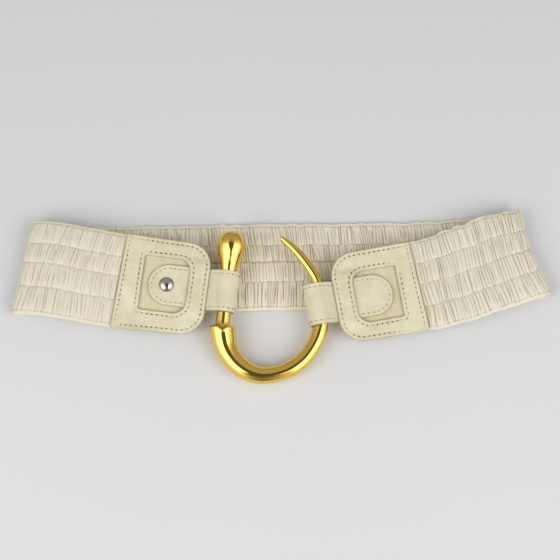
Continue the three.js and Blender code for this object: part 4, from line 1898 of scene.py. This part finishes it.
    def spot(
        self, route: Route, distance: np.ndarray, share: np.ndarray, normal: np.ndarray, lift: np.ndarray
    ) -> np.ndarray:
        """The points of one line along the band.

        Args:
            route: The stations.
            distance: Distances along the band.
            share: The line's places across, as shares of the width.
            normal: The directions out of the inner face.
            lift: Heights over the band's middle, along the normals.

        Returns:
            One point for each station, none below the table.
        """
        points = route.centre + route.across * self.across(route, distance, share)[:, None]
        points = points + normal * (self.flutter(route, distance, share) + lift)[:, None]
        points[:, 0] += self.bowed(route, share)
        points[:, 2] = np.maximum(points[:, 2], 0.0)
        return points

    def puffed(
        self,
        route: Route,
        distance: np.ndarray,
        row: int,
        place: float,
        gathers: Gathers,
        pressed: np.ndarray,
    ) -> tuple[np.ndarray, np.ndarray]:
        """One line of a puffed row.

        Args:
            route: The stations.
            distance: Distances along the band.
            row: The row's number.
            place: The line's place in the row.
            gathers: The row's creases.
            pressed: How far the row is pressed flat, from 0 to 1.

        Returns:
            Its heights over the band's middle, and its painted shade.
        """
        front, right = route.front, self.rightness(route)
        lean = front * ((1.0 - right) * self.left.crease_lean[row] + right * self.right.crease_lean[row])
        lean = lean + (1.0 - front) * self.back_leans[row]
        deep, wide, ridge = gathers.relief(distance, place, lean)
        swell = math.sin(math.pi * place) if 0.0 < place < 1.0 else 0.0
        vivid = 1.0 - (1.0 - self.left_calm) * front * (1.0 - right)
        body = 0.5 * (self.puff - self.seam) * swell**0.45
        plump = 1.0 + self.plump * np.clip(wide - 1.0, -0.6, 0.7) + self.overlap * (0.5 - ridge)
        cut = vivid * self.crease_depth * (0.4 + 0.6 * swell**0.5) * deep
        lift = body * plump - cut * (1.0 - self.pressed_flat * pressed)
        lift = np.maximum(0.5 * self.seam + route.puff * lift, self.least_lift)
        # Painted shade: darker down in the creases and beside the stitched rows, most along the back's
        # middle stitched row.
        dark = vivid * np.clip(deep, 0.0, 1.0) ** 1.3 * (0.7 + 0.3 * swell)
        by_middle_row = (row == 2 and place < 0.5) or (row == 1 and place > 0.5)
        seam = self.seam_shade + self.back_seam_shade * (1.0 - front) * by_middle_row
        dark = dark + seam * math.exp(-min(place, 1.0 - place) / self.seam_shade_share)
        return lift, dark

    def tab_shade(self, distance: np.ndarray, share: np.ndarray) -> np.ndarray:
        """The shade where the band comes out from under its tabs.

        Args:
            distance: Distances along the band.
            share: The places across, as shares of the width.

        Returns:
            How dark it is.
        """
        dark = np.zeros_like(distance)
        for half, far in ((self.left, distance), (self.right, distance[-1] - distance)):
            edge = half.tab.band_tuck + half.tab.band_skew * share
            dark += self.edge_shade * np.exp(-(((far - edge) / self.tab_shade_reach) ** 2))
        return dark

    def skin(self, face: Face, finish: bpy.types.Material, seed: int) -> bpy.types.Object:
        """Makes one layer of the band, closed, with its gathers on the face that shows.

        Args:
            face: Which layer.
            finish: The leather.
            seed: The seed of its gathers.

        Returns:
            The layer.
        """
        route, distance = self.route()
        normal = self.normals(route)
        rng = np.random.default_rng(seed)
        pitch = self.outer_pitch if face is Face.OUTER else self.inner_pitch
        rows = [Gathers(rng, distance[-1], pitch) for _ in range(4)]
        pressed = route.lying if face is Face.OUTER else np.zeros_like(distance)
        points, creases = [], []
        for row, place in zip(*self.lines()):
            share = self.share(route, row, place)
            if row in (-1, 4):
                edge = place if row == -1 else 1.0 - place
                height = 0.5 * self.seam * (0.3 + 0.7 * float(ease(edge, 0.0, 0.5)))
                lift, dark = np.full_like(distance, height), np.zeros_like(distance)
            else:
                lift, dark = self.puffed(route, distance, row, place, rows[row], pressed)
                dark = dark + self.tab_shade(distance, share)
            points.append(self.spot(route, distance, share, normal, face.value * lift))
            creases.append(dark)
        # The hidden inner lines carry an even painted shade.
        inside = np.full_like(distance, face.value * self.inside_lift)
        for place in np.linspace(1.0, 0.0, self.inside_lines):
            share = np.full_like(distance, place)
            points.append(self.spot(route, distance, share, normal, inside))
            creases.append(np.full_like(distance, self.inside_shade))
        flat, quads = loft(np.stack(points, axis=1))
        # The painted shade of creases, seams, tabs and the hidden side, which the finish reads.
        marks = {"crease": np.stack(creases, axis=1).ravel()}
        made = new_piece(f"{face.name.lower()}_layer", flat, quads, finish, marks)
        dress(made, Slot.BAND, "shirred_band")
        return made

    def seam_lines(self, face: Face) -> list[tuple[np.ndarray, bool]]:
        """The band's stitched rows on one face.

        Args:
            face: The face.

        Returns:
            Each row's points, and that it is open.
        """
        route, distance = self.route()
        normal = self.normals(route)
        margin = self.stitch_margin
        inside = (distance > margin) & (distance < distance[-1] - margin)
        lift = np.full_like(distance, face.value * (0.5 * self.seam - self.stitch_sunk))
        lines = []
        for row in range(5):
            share = self.share(route, row, 0.0)
            lines.append((self.spot(route, distance, share, normal, lift)[inside][::2], False))
        return lines


# Stitches by Geometry Nodes


@dataclass(frozen=True)
class Sewing:
    """A row of stitches along every edge line of an object, with a dark blob of painted shade for a needle
    hole after each.
    """

    name: str
    pitch: float
    length: float
    thickness: float
    hole: float
    sunk: float
    thread: bpy.types.Material
    shade: bpy.types.Material
    segments: int = 8

    def _tree(self) -> bpy.types.NodeTree:
        """Builds the node tree with its named inputs.

        Returns:
            The tree.
        """
        tree = bpy.data.node_groups.new(self.name, "GeometryNodeTree")
        face = tree.interface
        face.new_socket("Geometry", in_out="INPUT", socket_type="NodeSocketGeometry")
        for title in ("Pitch", "Length", "Thickness", "Hole", "Sunk"):
            face.new_socket(title, in_out="INPUT", socket_type="NodeSocketFloat")
        face.new_socket("Geometry", in_out="OUTPUT", socket_type="NodeSocketGeometry")
        nodes, links = tree.nodes, tree.links
        given, result = nodes.new("NodeGroupInput"), nodes.new("NodeGroupOutput")

        def sized(kind: str, counts: dict[str, int], titles: Sequence[str]) -> bpy.types.Node:
            """One round shape, stretched to named inputs.

            Args:
                kind: The shape's node.
                counts: How finely it is cut.
                titles: The inputs that give its half sizes along X, Y and Z.

            Returns:
                The node that stretches it.
            """
            shape = nodes.new(kind)
            for key, value in counts.items():
                shape.inputs[key].default_value = value
            factors = nodes.new("ShaderNodeCombineXYZ")
            for slot, title in zip(factors.inputs, titles):
                links.new(given.outputs[title], slot)
            stretched = nodes.new("GeometryNodeTransform")
            links.new(shape.outputs["Mesh"], stretched.inputs["Geometry"])
            links.new(factors.outputs[0], stretched.inputs["Scale"])
            return stretched

        counts = {"Segments": self.segments, "Rings": 5}
        stitch = sized("GeometryNodeMeshUVSphere", counts, ("Length", "Thickness", "Thickness"))
        hole = sized("GeometryNodeMeshIcoSphere", {"Subdivisions": 1}, ("Hole", "Hole", "Sunk"))
        pitch = nodes.new("ShaderNodeCombineXYZ")
        links.new(given.outputs["Pitch"], pitch.inputs["X"])
        between = nodes.new("ShaderNodeVectorMath")
        between.operation = "SCALE"
        between.inputs["Scale"].default_value = 0.5
        links.new(pitch.outputs[0], between.inputs[0])
        links.new(between.outputs[0], hole.inputs["Translation"])
        curve = nodes.new("GeometryNodeMeshToCurve")
        links.new(given.outputs["Geometry"], curve.inputs["Mesh"])
        spaced = nodes.new("GeometryNodeCurveToPoints")
        spaced.mode = "LENGTH"
        links.new(curve.outputs[0], spaced.inputs["Curve"])
        links.new(given.outputs["Pitch"], spaced.inputs["Length"])
        turn = nodes.new("FunctionNodeAlignRotationToVector")
        turn.axis = "X"
        links.new(spaced.outputs["Tangent"], turn.inputs["Vector"])
        join = nodes.new("GeometryNodeJoinGeometry")
        for shape, material in ((stitch, self.thread), (hole, self.shade)):
            last = nodes.new("GeometryNodeInstanceOnPoints")
            links.new(spaced.outputs["Points"], last.inputs["Points"])
            links.new(shape.outputs[0], last.inputs["Instance"])
            links.new(turn.outputs[0], last.inputs["Rotation"])
            for kind in ("RealizeInstances", "SetShadeSmooth", "SetMaterial"):
                following = nodes.new(f"GeometryNode{kind}")
                links.new(last.outputs[0], following.inputs[0])
                last = following
            last.inputs["Material"].default_value = material
            links.new(last.outputs[0], join.inputs[0])
        links.new(join.outputs[0], result.inputs[0])
        return tree

    def sew(self, name: str, lines: Sequence[tuple[np.ndarray, bool]], slot: Slot) -> bpy.types.Object:
        """Stitches along lines, as one plain mesh.

        Args:
            name: The object's name.
            lines: Each line's points, and whether it closes.
            slot: The material slot that the thread belongs to. Not used.

        Returns:
            The stitches.
        """
        guide = new_lines(f"{name}_guide", lines)
        tree = self._tree()
        modifier = guide.modifiers.new("sewing", "NODES")
        modifier.node_group = tree
        sizes = {
            "Pitch": self.pitch,
            "Length": 0.5 * self.length,
            "Thickness": 0.5 * self.thickness,
            "Hole": 0.5 * self.hole,
            "Sunk": 0.5 * self.sunk,
        }
        for item in tree.interface.items_tree:
            if item.in_out == "INPUT" and item.name in sizes:
                modifier[item.identifier] = sizes[item.name] * MM
        bpy.context.view_layer.update()
        graph = bpy.context.evaluated_depsgraph_get()
        mesh = bpy.data.meshes.new_from_object(guide.evaluated_get(graph), depsgraph=graph)
        bpy.data.objects.remove(guide)
        made = bpy.data.objects.new(name, mesh)
        bpy.context.scene.collection.objects.link(made)
        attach(made, "root")
        return made


# The table, the light and the camera


@dataclass
class Studio:
    """A plain pale table under soft light, with the camera where the photograph has it."""

    target: tuple[float, float, float] = (-0.002, 0.0119, 0.008)
    elevation_deg: float = 74.0
    distance: float = 0.9
    lens: float = 75.14
    table_size: float = 6.0
    light_turn_deg: float = 55.0
    light_fall_deg: float = 44.0
    light_far: float = 1.1
    light_size: float = 0.84
    light_power: float = 4.2
    glow: float = 0.62
    dim: float = 0.34
    least: float = 0.05
    mirrored: float = 0.9
    mirrored_least: float = 0.05

    def build_camera(self) -> None:
        """Places the camera and makes it the scene's."""
        lens = bpy.data.cameras.new("camera")
        lens.lens = self.lens
        lens.sensor_width = 36.0
        lens.clip_start, lens.clip_end = 0.01, 50.0
        camera = bpy.data.objects.new("camera", lens)
        up = math.radians(self.elevation_deg)
        back = Vector((0.0, -math.cos(up), math.sin(up)))
        camera.location = Vector(self.target) + back * self.distance
        camera.rotation_mode = "QUATERNION"
        camera.rotation_quaternion = (-back).to_track_quat("-Z", "Y")
        bpy.context.scene.collection.objects.link(camera)
        bpy.context.scene.camera = camera

    def build_table(self) -> None:
        """Makes the pale table top."""
        s = Shading("pale_table")
        cloud = s.noise(3.0, 2.0)
        finish = s.surface(
            Base_Color=s.mixed(cloud, (0.79, 0.795, 0.815), (0.76, 0.765, 0.785)),
            Roughness=0.75,
        )
        half = 0.5 * self.table_size
        mesh = bpy.data.meshes.new("table")
        corners = [(-half, -half, 0.0), (half, -half, 0.0), (half, half, 0.0), (-half, half, 0.0)]
        mesh.from_pydata(corners, [], [(0, 1, 2, 3)])
        mesh.materials.append(finish)
        table = bpy.data.objects.new("table", mesh)
        bpy.context.scene.collection.objects.link(table)

    def add_softbox(
        self, name: str, place: tuple[float, float, float], size: tuple[float, float], power: float
    ) -> None:
        """Adds one rectangular soft light, aimed at the belt.

        Args:
            name: Its name.
            place: Where it stands.
            size: Its width and height.
            power: Its power in watts.
        """
        light = bpy.data.lights.new(name, "AREA")
        light.shape = "RECTANGLE"
        light.size, light.size_y = size
        light.energy = power
        box = bpy.data.objects.new(name, light)
        box.location = place
        box.visible_camera = False
        aim = Vector(self.target) - Vector(place)
        box.rotation_mode = "QUATERNION"
        box.rotation_quaternion = aim.to_track_quat("-Z", "Y")
        bpy.context.scene.collection.objects.link(box)

    def build_room(self) -> None:
        """Makes the pale room, dark over the camera and in the gap between the two soft lights."""
        world = bpy.data.worlds.new("room")
        world.use_nodes = True
        tree = world.node_tree
        tree.nodes.clear()
        room = Shading.on(tree)
        way = room.node("ShaderNodeTexCoord")
        split = room.node("ShaderNodeSeparateXYZ", None, Vector=room.wire(way, "Generated"))
        x, y, z = (room.wire(split, k) for k in range(3))
        sides = room.ramp(x * x, ((0.03, 0.0), (0.3, 1.0)))
        front = room.ramp(y * -1.0 + 0.5, ((0.1, 0.0), (0.75, 1.0)))
        overhead = room.ramp(z - y * 0.25, ((0.88, 1.0), (0.985, 0.0)))
        middle = room.ramp(x * x, ((0.0, 1.0), (0.06, 0.0)))
        between = middle * room.ramp(y * -1.0, ((0.15, 0.0), (0.4, 1.0)))
        shiny = room.wire(room.node("ShaderNodeLightPath"), "Is Glossy Ray")
        horizon = room.ramp(z, ((0.0, 0.5), (0.4, 1.0)))
        glow = (sides * front * self.glow * (shiny * self.mirrored + 1.0) + self.dim) * overhead
        glow = glow * (1.0 - between * 0.6) * horizon + shiny * self.mirrored_least + self.least
        warm = (1.0, 0.985, 0.965, 1.0)
        shader = room.node("ShaderNodeBackground", None, Color=warm, Strength=glow)
        output = room.node("ShaderNodeOutputWorld")
        tree.links.new(shader.outputs[0], output.inputs["Surface"])
        bpy.context.scene.world = world

    def build_light(self) -> None:
        """Sets two soft lights in front, and the room round them."""
        turn, fall = math.radians(self.light_turn_deg), math.radians(self.light_fall_deg)
        for name, side in (("light_left", -1), ("light_right", 1)):
            x, y = side * math.sin(fall) * math.sin(turn), -math.sin(fall) * math.cos(turn)
            place = tuple(t + self.light_far * w for t, w in zip(self.target, (x, y, math.cos(fall))))
            self.add_softbox(name, place, (self.light_size, self.light_size), self.light_power)
        self.build_room()
        bpy.context.scene.view_settings.view_transform = "Standard"


def make_tabs(plane: FrontPlane, hook: Hook) -> tuple[Tab, Tab]:
    """The left and the right tab.

    Args:
        plane: The plane that they lie in.
        hook: The hook that their straps go round.

    Returns:
        Both tabs.
    """
    left = Tab(plane, hook, side="left", hand=1, turn_deg=-7.0, band_end_share=1.02)
    right = Tab(
        plane,
        hook,
        side="right",
        hand=-1,
        turn_deg=9.9,
        long_share=0.95,
        band_end_share=0.97,
        buckle_end_share=0.956,
        window_share=0.96,
        window_width_share=0.945,
        window_shift=-1.2,
        seed=8,
    )
    return left, right


def make_band(left: Tab, right: Tab) -> Band:
    """The gathered band between the tabs.

    Args:
        left: The left tab.
        right: The right tab.

    Returns:
        The band.
    """
    return Band(
        HalfRoute(
            left,
            fold_y_share=0.292,
            fold_lean_deg=7.9,
            fold_slope_deg=1.0,
            fold_run=0.8,
            fold_share=1.04,
            arm_swell=0.0,
            crease_lean=(3.2, 2.8, 0.8, 0.6),
            fold_top_in=1.2,
            fold_bow=0.7,
        ),
        HalfRoute(
            right,
            fold_y_share=0.444,
            fold_lean_deg=-15.5,
            fold_slope_deg=11.0,
            fold_run=1.0,
            fold_share=1.0,
            arm_swell=0.04,
            crease_lean=(-0.6, 0.2, -0.4, -0.8),
            fold_top_in=1.5,
            fold_bow=3.9,
        ),
    )


def sew_all(left: Tab, right: Tab, band: Band, finishes: Finishes) -> None:
    """Stitches the tabs, the straps and the band.

    Args:
        left: The left tab.
        right: The right tab.
        band: The band.
        finishes: The belt's finishes.
    """
    thread, hole = finishes.thread, finishes.hole
    on_tab = Sewing("tab_sewing", left.stitch_pitch, 2.4, 0.6, 1.35, 0.5, thread, hole)
    on_strap = Sewing("strap_sewing", left.stitch_pitch, 2.4, 0.5, 1.05, 0.45, thread, hole)
    on_band = Sewing("band_sewing", band.stitch_pitch, 1.3, 0.42, 0.8, 0.45, thread, hole, 6)
    for tab in (left, right):
        side = tab.side
        LOG.info("built %s", on_tab.sew(f"tab_stitches_{side}", tab.frame_seams(), Slot.TAB).name)
        LOG.info("built %s", on_strap.sew(f"strap_stitches_{side}", tab.strap_seams(), Slot.STRAP).name)
    for face in Face:
        name = f"band_stitches_{face.name.lower()}"
        LOG.info("built %s", on_band.sew(name, band.seam_lines(face), Slot.BAND).name)


def main() -> None:
    """Builds the whole picture in order and reports each piece."""
    logging.basicConfig(level=logging.INFO, format="%(message)s")
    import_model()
    studio = Studio()
    studio.build_camera()
    studio.build_table()
    studio.build_light()
    finishes = Finishes()
    plane = FrontPlane()
    hook = Hook(plane)
    LOG.info("built %s", hook.build(finishes.gold).name)
    left, right = make_tabs(plane, hook)
    for tab in (left, right):
        LOG.info("built %s", tab.build_base(finishes.base).name)
        LOG.info("built %s", tab.build_frame(finishes.tab).name)
        LOG.info("built %s", tab.build_strap(finishes.strap).name)
    LOG.info("built %s", Snap(left).build(finishes.silver).name)
    band = make_band(left, right)
    LOG.info("built %s", band.skin(Face.OUTER, finishes.outer, 11).name)
    LOG.info("built %s", band.skin(Face.INNER, finishes.inner, 23).name)
    sew_all(left, right, band, finishes)


if __name__ == "__main__":
    main()
